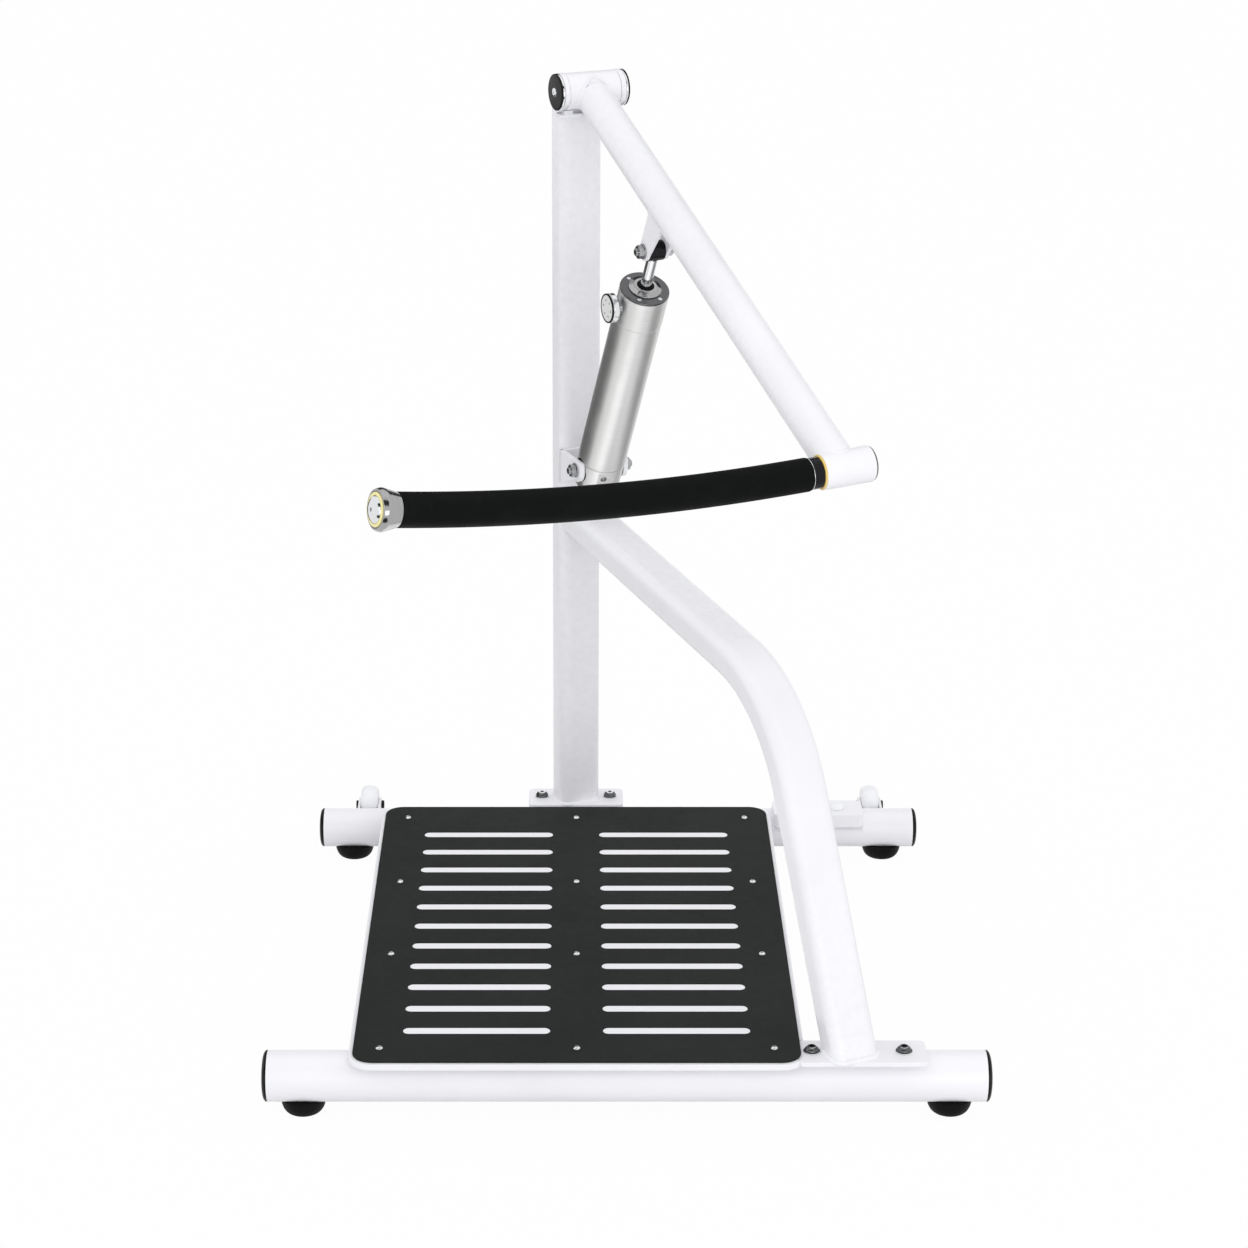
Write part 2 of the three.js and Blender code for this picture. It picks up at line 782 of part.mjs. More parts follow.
function yoke() {
  const plateTop = mastHeight + yokePlateThickness;
  const front = yokeFootAdvance + yokeFootRadius;
  const side = spineWidth / 2;
  const outline = roundedRectangle(spineDepth, spineWidth, spineCornerRadius);
  const cover = upright(outline, mastHeight, plateTop);
  const saddle = block(0, front, -side, side, mastHeight, plateTop);
  const back = yokeFootAdvance - yokeFootRadius;
  const bridge = block(back, front, -yokeOuter, yokeOuter, mastHeight, plateTop);
  const foot = [yokeFootAdvance, plateTop, yokeFootRadius];
  const ear = tangentOutline(foot, [pivotAdvance, pivotHeight, yokeEarRadius]);
  const ears = [-yokeOuter, yokeInner].map((y) => sideways(ear, y, y + yokeEarThickness, ringSteps / 2));
  const below = block(0, pivotAdvance * 2, -spineWidth, spineWidth, 0, mastHeight);
  const bore = alongY(drill(
    pivotAxleDiameter / 2 + seatGap, -yokeOuter - cutOverrun, yokeOuter + cutOverrun, mediumSides,
  )).translate(pivotAdvance, 0, pivotHeight);
  return cut(join(cover, saddle, bridge, ...ears), bore, below);
}

function buildMast() {
  const section = spineTube(spineDepth, spineWidth, spineCornerRadius);
  const tube = upright(section, mastFlangeBottom, mastHeight);
  const base = squareToBase(
    flange(mastFlangeWidth, mastFlangeBottom, mastFlangeThickness, pair(mastBoltSpacing), 0),
  );
  add(spine, 'mast', join(tube, base, yoke()), 'whitePaint');
  const seat = mastFlangeTop + seatGap;
  addPair('mast_bolt', mastBoltSpacing, buttonBolt(frameBoltGrip), 'zinc', 0, mastY, seat);
}

// Brace: the same tube, bent once, from the front of the mast down to the front cross tube
function bracePath() {
  const topSlope = THREE.MathUtils.degToRad(braceTopSlope);
  const footSlope = THREE.MathUtils.degToRad(braceFootSlope);
  const footZ = braceFlangeBottom + braceFlangeThickness / 2;
  const run = spineRun + (braceFlangeTop - footZ) / Math.tan(footSlope);
  const cornerX = (footZ + run * Math.tan(footSlope) - braceTopHeight)
    / (Math.tan(footSlope) - Math.tan(topSlope));
  const cornerZ = braceTopHeight - cornerX * Math.tan(topSlope);
  const turn = footSlope - topSlope;
  const reach = braceBendRadius * Math.tan(turn / 2);
  const startX = cornerX - reach * Math.cos(topSlope);
  const startZ = cornerZ + reach * Math.sin(topSlope);
  const centreX = startX - braceBendRadius * Math.sin(topSlope);
  const centreZ = startZ - braceBendRadius * Math.cos(topSlope);
  const points = [new THREE.Vector3(0, 0, braceTopHeight)];
  for (let step = 0; step <= bendSteps; step += 1) {
    const angle = Math.PI / 2 - topSlope - turn * (step / bendSteps);
    points.push(new THREE.Vector3(
      centreX + braceBendRadius * Math.cos(angle), 0, centreZ + braceBendRadius * Math.sin(angle),
    ));
  }
  const last = points[points.length - 1];
  const below = last.z - footZ + spineDepth;
  points.push(new THREE.Vector3(last.x + below / Math.tan(footSlope), 0, last.z - below));
  return points;
}

function buildBrace() {
  const path = bracePath();
  const tube = swept(spineTube(spineWidth, spineDepth, spineCornerRadius), path);
  const gap = 2 * seatGap;
  const mastShape = roundedRectangle(spineDepth + gap, spineWidth + gap, spineCornerRadius + seatGap);
  const mastTool = upright(mastShape, braceTopHeight - spineDepth * 2, braceTopHeight + spineDepth * 2);
  const behind = block(-spineWidth, 0, -spineWidth, spineWidth, 0, mastHeight);
  const below = block(0, spineRun * 2, -spineWidth, spineWidth, -spineRun, braceFlangeBottom);
  const trimmed = cut(tube, mastTool, behind, below);
  const boltX = pair(braceBoltSpacing).map((x) => x + braceBoltShift);
  const plate = squareToBase(
    flange(braceFlangeWidth, braceFlangeBottom, braceFlangeThickness, boltX, braceFlangeX - braceFootX),
  ).translate(spineRun, 0, 0);
  add(spine, 'brace', join(trimmed, plate), 'whitePaint');
  const seat = braceFlangeTop + seatGap;
  const middle = braceFlangeX + braceBoltShift;
  addPair('brace_bolt', braceBoltSpacing, buttonBolt(frameBoltGrip), 'zinc', middle, braceFootY, seat);
}

// Cylinder bracket on the mast: a web and two round-ended ears
function buildBracket() {
  const face = spineDepth / 2 + seatGap;
  const web = block(
    face, face + bracketWeb, -bracketOuter, bracketOuter,
    lowerPinHeight - bracketHeight / 2, lowerPinHeight + bracketHeight / 2,
  );
  const ear = new THREE.Shape();
  ear.moveTo(face, lowerPinHeight - bracketHeight / 2);
  ear.lineTo(face + bracketWeb, lowerPinHeight - bracketHeight / 2);
  ear.lineTo(lowerPinAdvance - bracketEarRadius / 2, lowerPinHeight - bracketEarRadius);
  ear.absarc(lowerPinAdvance, lowerPinHeight, bracketEarRadius, -Math.PI / 2, Math.PI / 2);
  ear.lineTo(face + bracketWeb, lowerPinHeight + bracketHeight / 2);
  ear.lineTo(face, lowerPinHeight + bracketHeight / 2);
  ear.closePath();
  const ears = [-bracketOuter, bracketGap / 2].map((y) => sideways(ear, y, y + bracketThickness));
  const bore = alongY(drill(
    pinDiameter / 2 + pinBoreGap, -bracketOuter - cutOverrun, bracketOuter + cutOverrun, mediumSides,
  )).translate(lowerPinAdvance, 0, lowerPinHeight);
  add(spine, 'cylinder_bracket', cut(join(web, ...ears), bore), 'whitePaint');
}

// A through bolt along Y with a washer and a nut at each side of a clevis
function clevisBolt(outer) {
  const pin = pinDiameter / 2;
  const washer = outer + seatGap + pinWasherThickness;
  const end = washer + pinNutHeight + pinEndLength;
  const rings = [
    disc(pin, -end, end, smallSides),
    disc(pinWasherDiameter / 2, outer + seatGap, washer, mediumSides),
    disc(pinWasherDiameter / 2, -washer, -outer - seatGap, mediumSides),
    hexagon(pinNutWidth, washer, washer + pinNutHeight),
    hexagon(pinNutWidth, -washer - pinNutHeight, -washer),
  ];
  return alongY(join(...rings));
}

// Pivot head: axle, chrome rings and black caps
function pivotRing() {
  const outer = pivotRingDiameter / 2;
  const inner = pivotAxleDiameter / 2 + seatGap;
  const start = yokeOuter + seatGap;
  return sleeve(inner, outer, start, ringOuter, roundSides);
}

// Black end cap with the head of its centre bolt
function pivotCap() {
  const radius = pivotCapDiameter / 2;
  const bolt = pivotCapBoltDiameter / 2;
  const start = ringOuter + seatGap;
  const edge = start + pivotCapThickness;
  const crown = edge + pivotCapDome / 2;
  const cap = turned([
    [0, start], [radius, start], [radius, edge - pivotCapDome / 2], [radius - pivotCapDome, edge],
    [radius / 2, crown], [bolt, crown], [bolt, crown + pivotCapBoltHead], [0, crown + pivotCapBoltHead],
  ], roundSides);
  return cut(cap, disc(bolt / 2, crown, crown + cutOverrun, hexSides));
}

function pivotBush() {
  const bore = clearOf(pivotAxleDiameter / 2 + seatGap, mediumSides);
  const outer = pivotRadius - pivotTubeWall - seatGap;
  const end = pivotTubeLength / 2 - pivotBushSetback;
  return sleeve(bore, outer, end - pivotBushLength, end, mediumSides);
}

function buildPivot() {
  const head = new THREE.Group();
  head.position.set(pivotAdvance, 0, pivotHeight);
  spine.add(head);
  const axle = alongY(disc(pivotAxleDiameter / 2, -ringOuter, ringOuter, mediumSides));
  add(head, 'pivot_axle', axle, 'zinc');
  for (const [side, flip] of [['left', Math.PI / 2], ['right', -Math.PI / 2]]) {
    add(head, `pivot_ring_${side}`, pivotRing().rotateX(flip), 'chrome');
    add(head, `pivot_cap_${side}`, pivotCap().rotateX(flip), 'blackPlastic');
    add(head, `pivot_bush_${side}`, pivotBush().rotateX(flip), 'bronze');
  }
}

// Arm: pivot tube, long tube, hub and the ears that hold the rod
function armEars() {
  const shape = new THREE.Shape();
  const root = armDiameter / 2 - earSink;
  const left = earAlong + earRootShift - earRootLength / 2;
  const right = earAlong + earRootShift + earRootLength / 2;
  shape.moveTo(left, -root);
  shape.lineTo(earAlong - earEndRadius, -earBelow);
  shape.absarc(earAlong, -earBelow, earEndRadius, Math.PI, Math.PI * 2);
  shape.lineTo(right, -root);
  shape.closePath();
  return [-earGap / 2 - earThickness, earGap / 2].map((y) => sideways(shape, y, y + earThickness));
}

function buildArm() {
  const arm = new THREE.Group();
  arm.position.set(pivotAdvance, 0, pivotHeight);
  arm.rotation.y = armAngle;
  spine.add(arm);
  const pivotTube = alongY(disc(pivotRadius, -pivotTubeLength / 2, pivotTubeLength / 2, tubeSides));
  const pivotBore = alongY(disc(
    pivotRadius - pivotTubeWall, -pivotTubeLength, pivotTubeLength, roundSides,
  ));
  const tube = alongX(disc(armDiameter / 2, 0, armLength, tubeSides));
  const hollow = alongX(disc(armDiameter / 2 - armWall, pivotRadius, armLength, roundSides));
  const tilt = THREE.MathUtils.degToRad(hubTilt);
  const turnHub = (geometry) => geometry.rotateX(tilt).translate(armLength, 0, 0);
  const hub = turnHub(alongY(disc(hubDiameter / 2, -hubReachLeft, hubReachRight, roundSides)));
  const hubHole = turnHub(alongY(disc(hubBore, -hubDiameter, hubDiameter, roundSides)));
  const pin = alongY(drill(
    pinDiameter / 2 + pinBoreGap, -armDiameter, armDiameter, mediumSides,
  )).translate(earAlong, 0, -earBelow);
  const tubes = cut(join(pivotTube, tube, hub), pivotBore, hollow, hubHole);
  const ears = armEars().map((ear) => cut(ear, hollow, pin));
  add(arm, 'press_arm', join(tubes, ...ears), 'whitePaint');
  const bolt = add(arm, 'upper_cylinder_bolt', clevisBolt(earGap / 2 + earThickness), 'zinc');
  bolt.position.set(earAlong, 0, -earBelow);
  const handle = new THREE.Group();
  handle.position.set(armLength, 0, 0);
  arm.add(handle);
  buildHandle(handle);
}

// Handle: the bar runs from the hub to the left and, under the grip, curves gently upwards in straight
// steps that everything on it shares
const camberPitch = (gripEnd - innerCollarEnd) / camberSteps;
const gripStart = innerCollarEnd + 2 * slidingGap;

function barJoint(index) {
  const turn = (index * camberPitch) / barCamberRadius;
  return new THREE.Vector3(
    0, -innerCollarEnd - barCamberRadius * Math.sin(turn), barCamberRadius * (1 - Math.cos(turn)),
  );
}

function barPoint(distance) {
  if (distance <= innerCollarEnd) return new THREE.Vector3(0, -distance, 0);
  const place = (distance - innerCollarEnd) / camberPitch;
  const index = Math.min(Math.floor(place), camberSteps - 1);
  return barJoint(index).lerp(barJoint(index + 1), place - index);
}

function barStations(start, end) {
  const points = [barPoint(start)];
  for (let index = 0; index < camberSteps; index += 1) {
    const place = innerCollarEnd + index * camberPitch;
    if (place > start && place < end) points.push(barJoint(index));
  }
  points.push(barPoint(end));
  return points;
}

// Places a turned piece, drawn along +Z from the hub, on the bar past a distance
function onBar(geometry, distance) {
  const start = barPoint(distance);
  const heading = barPoint(distance + seatGap).sub(start);
  const turn = Math.atan2(heading.z, -heading.y);
  return geometry.translate(0, 0, -distance).rotateX(Math.PI / 2 - turn).translate(0, start.y, start.z);
}

function tipCollar() {
  const bore = barRadius + seatGap;
  const start = gripEnd + seatGap;
  const root = tipCollarRoot / 2;
  const flare = tipCollarDiameter / 2;
  const band = start + tipCollarBand;
  return turned([
    [bore, start], [root, start], [root, start + tipCollarNeck],
    [flare - tipCollarEase, start + tipCollarFlare], [flare, band], [flare, band + tipCollarBandWidth],
    [flare - tipCollarEase / 2, tipCollarEnd], [bore, tipCollarEnd], [bore, start],
  ], roundSides);
}

function tipPlug() {
  const radius = tipPlugDiameter / 2;
  const bore = barRadius - barWall - seatGap;
  const seat = tipCollarEnd + seatGap;
  const points = [[0, seat - tipPlugShank], [bore, seat - tipPlugShank], [bore, seat], [radius, seat]];
  for (let step = 1; step < domeSteps; step += 1) {
    const turn = (step / domeSteps) * (Math.PI / 2);
    points.push([radius * Math.cos(turn) ** tipPlugFullness, seat + tipPlugDome * Math.sin(turn)]);
  }
  points.push([0, seat + tipPlugDome]);
  const end = seat + tipPlugDome;
  const hole = disc(tipPlugHole / 2, end - tipPlugHoleDepth, end + cutOverrun, smallSides);
  return cut(turned(points, mediumSides), hole);
}

function hubBush() {
  const bore = barRadius + seatGap;
  const outer = bore + hubBushWall;
  const start = -hubBushLength;
  return turned([
    [bore, start], [outer, start], [outer, seatGap], [hubDiameter / 2, seatGap],
    [hubDiameter / 2, seatGap + hubBushFlange], [bore, seatGap + hubBushFlange], [bore, start],
  ], roundSides);
}

function buildHandle(parent) {
  const tilted = new THREE.Group();
  tilted.rotation.x = THREE.MathUtils.degToRad(hubTilt);
  parent.add(tilted);
  const barRing = ringShape(barRadius, barRadius - barWall);
  const bar = swept(barRing, barStations(-barTail, tipCollarEnd), ringSteps);
  add(tilted, 'handle_bar', bar, 'brushed');
  const collarStart = hubReachLeft + hubBushFlange + 2 * seatGap;
  const collar = sleeve(
    barRadius + seatGap, innerCollarDiameter / 2, collarStart, innerCollarEnd, roundSides,
  );
  add(tilted, 'handle_inner_collar', onBar(collar, collarStart), 'chrome');
  const gripRing = ringShape(gripDiameter / 2, barRadius + seatGap);
  add(tilted, 'handle_grip', swept(gripRing, barStations(gripStart, gripEnd), ringSteps), 'rubber');
  add(tilted, 'handle_tip_collar', onBar(tipCollar(), gripEnd), 'brushed');
  const ring = sleeve(
    tipPlugDiameter / 2 + seatGap, tipRingDiameter / 2,
    tipCollarEnd + seatGap, tipCollarEnd + seatGap + tipRingThickness, roundSides,
  );
  add(tilted, 'handle_tip_ring', onBar(ring, tipCollarEnd), 'bronze');
  add(tilted, 'handle_tip_plug', onBar(tipPlug(), tipCollarEnd), 'chrome');
  const capRadius = hubCapDiameter / 2;
  const plug = barRadius - barWall - seatGap;
  const rightFace = hubReachRight + hubBushFlange + 2 * seatGap;
  const bevel = hubCapThickness / 2;
  const cap = turned([
    [0, barTail - hubCapPlug], [plug, barTail - hubCapPlug], [plug, rightFace], [capRadius, rightFace],
    [capRadius, rightFace + bevel], [capRadius - bevel, rightFace + hubCapThickness],
    [0, rightFace + hubCapThickness],
  ], mediumSides);
  add(tilted, 'handle_end_cap', cap.rotateX(-Math.PI / 2), 'darkMetal');
  const leftBush = hubBush().translate(0, 0, hubReachLeft).rotateX(Math.PI / 2);
  add(tilted, 'hub_bush_left', leftBush, 'bronze');
  const rightBush = hubBush().translate(0, 0, hubReachRight).rotateX(-Math.PI / 2);
  add(tilted, 'hub_bush_right', rightBush, 'bronze');
}

// Hydraulic cylinder, standing on its lower pin
function baseBlock() {
  const half = baseBlockWidth / 2;
  const radius = baseBlockDiameter / 2;
  const column = disc(radius, -baseBlockDrop, barrelStart, roundSides);
  const end = new THREE.Shape();
  end.absarc(0, 0, baseBlockEndRadius, Math.PI, Math.PI * 2);
  end.lineTo(radius, barrelStart);
  end.lineTo(-radius, barrelStart);
  end.closePath();
  const profile = sideways(end, -half, half, ringSteps / 2);
  const openRadius = pinDiameter / 2 + openPivotPlay;
  const bore = alongY(drill(openRadius, -half - cutOverrun, half + cutOverrun, roundSides));
  const portFloor = baseBlockEndRadius - basePortDepth;
  const port = alongX(disc(basePortDiameter / 2, portFloor, baseBlockDiameter, smallSides));
  port.translate(0, 0, barrelStart / 2 - basePortDrop);
  return cut(common(column, profile), bore, port);
}

function barrel() {
  return sleeve(barrelRadius - barrelWall, barrelRadius, barrelStart + seatGap, headStart, tubeSides);
}

function head() {
  const body = turned([
    [rodBore, headStart + seatGap], [headRadius, headStart + seatGap],
    [headRadius, headEnd], [rodBore, headEnd], [rodBore, headStart + seatGap],
  ], roundSides);
  const flatY = -Math.sqrt(headRadius ** 2 - (dialSeatFlat / 2) ** 2);
  const flat = block(
    -headRadius, headRadius, -headDiameter, flatY,
    dialHeight - dialSeatFlat / 2, dialHeight + dialSeatFlat / 2,
  );
  const port = alongY(disc(dialStemDiameter / 2 + seatGap, -headDiameter, -headRadius / 2, mediumSides));
  return cut(body, flat, port.translate(0, 0, dialHeight));
}

function headCover() {
  const start = headEnd + seatGap;
  const ring = turned([
    [glandDiameter / 2 + seatGap, start], [headRadius - seatGap, start],
    [headRadius - seatGap, coverEnd - coverChamfer], [headRadius - coverChamfer, coverEnd],
    [glandDiameter / 2 + seatGap, coverEnd], [glandDiameter / 2 + seatGap, start],
  ], roundSides);
  const floor = coverEnd - coverScrewHeight;
  const pockets = coverScrews(coverScrewDiameter / 2 + slidingGap, floor, coverEnd + cutOverrun);
  const screws = coverScrews(coverScrewDiameter / 2, floor - coverScrewHeight, coverEnd);
  return join(cut(ring, ...pockets), ...screws);
}

function coverScrews(radius, z0, z1) {
  return Array.from({ length: coverScrewCount }, (_, index) => {
    const turn = THREE.MathUtils.degToRad(coverScrewTurn) + index * (Math.PI * 2 / coverScrewCount);
    const reach = coverScrewCircle / 2;
    return disc(radius, z0, z1, smallSides).translate(reach * Math.cos(turn), reach * Math.sin(turn), 0);
  });
}

function gland() {
  const start = headEnd + seatGap;
  const top = coverEnd + glandHeight;
  const inner = sealDiameter / 2 + seatGap;
  return turned([
    [rodBore, start], [glandDiameter / 2, start], [glandDiameter / 2, top - coverChamfer],
    [glandDiameter / 2 - coverChamfer, top], [inner, top], [inner, start + glandFloor],
    [rodBore, start + glandFloor], [rodBore, start],
  ], roundSides);
}

function rodSeal() {
  const start = headEnd + 2 * seatGap + glandFloor;
  const top = coverEnd + sealHeight;
  const outer = sealDiameter / 2;
  return turned([
    [rodBore, start], [outer, start], [outer, top - sealHeight / 4], [rodRadius + sealHeight / 4, top],
    [rodBore, top], [rodBore, start],
  ], mediumSides);
}

function rod() {
  const pistonEnd = pistonStart + pistonThickness;
  const neckStart = cylinderLength - rodEyeDiameter / 2 - rodNeckLength;
  const neckEnd = cylinderLength - rodEyeDiameter / 4;
  const neck = rodNeckDiameter / 2;
  const shaft = turned([
    [0, pistonStart], [rodRadius / 2, pistonStart], [rodRadius / 2, pistonEnd + seatGap],
    [rodRadius, pistonEnd + seatGap], [rodRadius, neckStart], [neck, neckStart + rodNeckLength / 3],
    [neck, neckEnd], [0, neckEnd],
  ], mediumSides);
  const eye = alongY(disc(rodEyeDiameter / 2, -rodEyeWidth / 2, rodEyeWidth / 2, mediumSides));
  const bore = alongY(drill(pinDiameter / 2 + pinBoreGap, -rodEyeWidth, rodEyeWidth, mediumSides));
  eye.translate(0, 0, cylinderLength);
  bore.translate(0, 0, cylinderLength);
  return cut(join(shaft, eye), bore);
}

function piston() {
  const inner = rodRadius / 2 + seatGap;
  const outer = barrelRadius - barrelWall - pistonGap;
  const groove = outer - pistonGrooveDepth;
  const middle = pistonStart + pistonThickness / 2;
  const half = pistonGrooveWidth / 2;
  const end = pistonStart + pistonThickness;
  return turned([
    [inner, pistonStart], [outer, pistonStart], [outer, middle - half], [groove, middle - half],
    [groove, middle + half], [outer, middle + half], [outer, end], [inner, end], [inner, pistonStart],
  ], mediumSides);
}

function dialKnob() {
  const start = headRadius + dialStandOff;
  const end = start + dialThickness;
  const radius = dialDiameter / 2;
  const stemEnd = headRadius / 2 + dialStandOff;
  const recess = dialFaceDiameter / 2 + seatGap;
  const floor = end - dialFaceInset - dialFaceThickness;
  const stem = dialStemDiameter / 2;
  return turned([
    [0, stemEnd], [stem, stemEnd], [stem, start], [radius - dialChamfer, start],
    [radius, start + dialChamfer], [radius, end - dialChamfer], [radius - dialChamfer, end],
    [recess, end], [recess, floor], [0, floor],
  ], roundSides);
}

function buildCylinder() {
  const unit = new THREE.Group();
  unit.position.set(lowerPinAdvance, 0, lowerPinHeight);
  unit.rotation.y = cylinderAngle;
  spine.add(unit);
  add(unit, 'cylinder_base_block', baseBlock(), 'brushed');
  add(unit, 'cylinder_barrel', barrel(), 'brushed');
  add(unit, 'cylinder_head', head(), 'brushed');
  add(unit, 'cylinder_head_cover', headCover(), 'darkMetal');
  add(unit, 'cylinder_gland', gland(), 'brushed');
  add(unit, 'rod_seal', rodSeal(), 'rubber');
  add(unit, 'cylinder_rod', rod(), 'chrome');
  add(unit, 'cylinder_piston', piston(), 'brushed');
  const toLeft = (geometry) => geometry.rotateX(Math.PI / 2).translate(0, 0, dialHeight);
  add(unit, 'dial_knob', toLeft(dialKnob()), 'chrome');
  const faceEnd = headRadius + dialStandOff + dialThickness - dialFaceInset;
  const face = disc(dialFaceDiameter / 2, faceEnd - dialFaceThickness + seatGap, faceEnd, mediumSides);
  add(unit, 'dial_face', toLeft(face), 'dialFace');
  const bolt = add(spine, 'lower_cylinder_bolt', clevisBolt(bracketOuter), 'zinc');
  bolt.position.set(lowerPinAdvance, 0, lowerPinHeight);
}

// Transport wheels: each hangs between two ears welded on the rear tube
function wheel() {
  const half = wheelWidth / 2;
  const radius = wheelDiameter / 2;
  const bore = wheelBoltDiameter / 2 + wheelBoreGap;
  const points = [[bore, -half], [radius - wheelRound, -half]];
  for (let step = 1; step <= domeSteps; step += 1) {
    const turn = (step / domeSteps) * (Math.PI / 2);
    points.push([
      radius - wheelRound + wheelRound * Math.sin(turn), -half + wheelRound * (1 - Math.cos(turn)),
    ]);
  }
  const mirrored = points.slice(1).reverse().map(([r, z]) => [r, -z]);
  return alongX(turned([...points, ...mirrored, [bore, half], [bore, -half]], roundSides));
}

function wheelEars() {
  const inner = wheelWidth / 2 + slidingGap;
  const shape = tangentOutline(
    [0, 0, wheelEarRadius], [-wheelSetback, rearTubeZ - wheelAxleHeight, wheelEarRoot / 2],
  );
  const settings = { depth: wheelEarThickness, bevelEnabled: false, curveSegments: ringSteps / 2 };
  const tube = alongX(disc(rearRadius - crossTubeWall / 2, -footDiameter, footDiameter, roundSides));
  tube.translate(0, -wheelSetback, rearTubeZ - wheelAxleHeight);
  const bore = alongX(drill(wheelBoltDiameter / 2 + seatGap, -footDiameter, footDiameter, smallSides));
  const ears = [-inner - wheelEarThickness, inner].map((x) => new THREE.ExtrudeGeometry(shape, settings)
    .rotateX(Math.PI / 2).rotateZ(Math.PI / 2).translate(x, 0, 0));
  return ears.map((ear) => cut(ear, tube, bore));
}

function wheelBolt() {
  const outer = wheelWidth / 2 + slidingGap + wheelEarThickness + seatGap;
  const end = outer + wheelBoltHeadHeight;
  return alongX(join(
    disc(wheelBoltDiameter / 2, -end, end, smallSides),
    hexagon(wheelBoltHead, outer, end),
    hexagon(wheelBoltHead, -end, -outer),
  ));
}

function buildWheels() {
  for (const [side, x] of [['left', wheelLeftX], ['right', wheelRightX]]) {
    const place = [x, rearTubeY + wheelSetback, wheelAxleHeight];
    add(model, `transport_wheel_${side}`, wheel(), 'whiteNylon').position.set(...place);
    add(model, `wheel_bolt_${side}`, wheelBolt(), 'blackPlastic').position.set(...place);
  }
}

buildBase();
buildPlatform();
buildSpareCaps();
buildMast();
buildBrace();
buildBracket();
buildPivot();
buildArm();
buildCylinder();
buildWheels();

// The origin is the middle of the footprint, on the floor
const machine = new THREE.Group();
machine.add(model);
machine.updateMatrixWorld(true);
const extent = new THREE.Box3().setFromObject(machine, true);
model.position.set(-(extent.min.x + extent.max.x) / 2, -(extent.min.y + extent.max.y) / 2, -extent.min.z);
machine.updateMatrixWorld(true);

export default machine;
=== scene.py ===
"""Shoulder press machine: the looks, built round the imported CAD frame.

Pieces are drawn in millimetres in the machine's own frame, as in the part's source, and each place
matrix carries them into the row frame in metres. Every fine piece stands where its CAD node is.
"""
import math

import bmesh
import bpy
from mathutils import Matrix, Vector


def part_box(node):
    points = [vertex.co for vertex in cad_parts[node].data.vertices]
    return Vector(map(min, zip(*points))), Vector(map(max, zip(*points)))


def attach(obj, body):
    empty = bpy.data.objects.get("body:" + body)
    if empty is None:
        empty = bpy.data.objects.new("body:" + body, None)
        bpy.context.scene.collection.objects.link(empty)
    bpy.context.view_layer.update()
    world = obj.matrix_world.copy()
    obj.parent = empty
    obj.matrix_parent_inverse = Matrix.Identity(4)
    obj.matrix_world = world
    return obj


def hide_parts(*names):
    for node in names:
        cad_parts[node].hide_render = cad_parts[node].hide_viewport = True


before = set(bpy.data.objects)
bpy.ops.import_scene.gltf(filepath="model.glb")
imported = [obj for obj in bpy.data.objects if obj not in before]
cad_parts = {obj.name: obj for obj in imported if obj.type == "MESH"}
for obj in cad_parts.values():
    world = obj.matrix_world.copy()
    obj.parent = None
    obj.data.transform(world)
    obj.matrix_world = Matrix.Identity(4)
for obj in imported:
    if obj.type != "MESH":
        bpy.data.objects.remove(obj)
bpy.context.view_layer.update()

# Fits and steps
METRES = 0.001
SEAT_GAP = 0.3
STEP = 0.2
SLIDING_GAP = 0.5
ROUND_SIDES = 112
SMALL_SIDES = 48
CORNER_STEPS = 12
EASE_STEPS = 4
SHARP_ANGLE = math.radians(32)
SIDES = (("left", -1), ("right", 1))

# Cutting tools: their plain edge, their sides, and how far they reach through each host
TOOL_EDGE, TOOL_SIDES = 0.05, 64
FOOT_CUT, LONG_CUT, BLOCK_CUT, EYE_CUT, DIAL_CUT = 80, 90, 60, 30, 70

# Base
TUBE_SHIFT = 74
TUBE_WALL = 3
FRONT_TUBE = {"radius": 38, "length": 1063, "y": -450, "z": 56}
REAR_TUBE = {"radius": 33.5, "length": 1033, "y": 450, "z": 51.5}
CAP_DOME, CAP_RIM, CAP_PLUG = 8, 3, 14
FOOT_RADIUS, FOOT_SOLE, FOOT_INSET = 34, 22, 52
FOOT_TOP = 25
FOOT_RECESS, FOOT_HOLE, FOOT_STEPS = 7, 7.8, 14
FOOT_SCREW, FOOT_SCREW_LOW, FOOT_SCREW_HIGH = 7.5, 2, 6.8

# Platform
PLATE_WIDTH, PLATE_LENGTH, PLATE_CENTRE_Y = 660, 913, -42.5
PLATE_TOP, PLATE_THICKNESS, PLATE_CORNER = 107, 3, 30
PLATE_CORNER_STEPS = 20
SLOT_LENGTH, SLOT_WIDTH, SLOT_PITCH, SLOT_ROWS = 220, 19, 70.2, 11
SLOT_CENTRE_X, SLOT_SHIFT = 149, -11.5
RIB_GAP, RIB_BELOW_PLATE, RIB_SINK = 0.4, 0.5, 0.5
DECK_RIM, DECK_THICKNESS, DECK_LIP, LIP_LAP = 6, 3, 9, 0.8
NOTCH_LOW, NOTCH_HIGH = 60, 130
SCREW_COLUMN_X, SCREW_FRONT, SCREW_BACK = 291, 40, 46
SCREW_SHARES = (0, 0.371, 0.689, 1)
SCREW_RADIUS, SCREW_HEIGHT, SCREW_SOCKET = 5.5, 3.0, 3.4
SCREW_COLUMN_TURN, SCREW_ROW_TURN = 37, 23

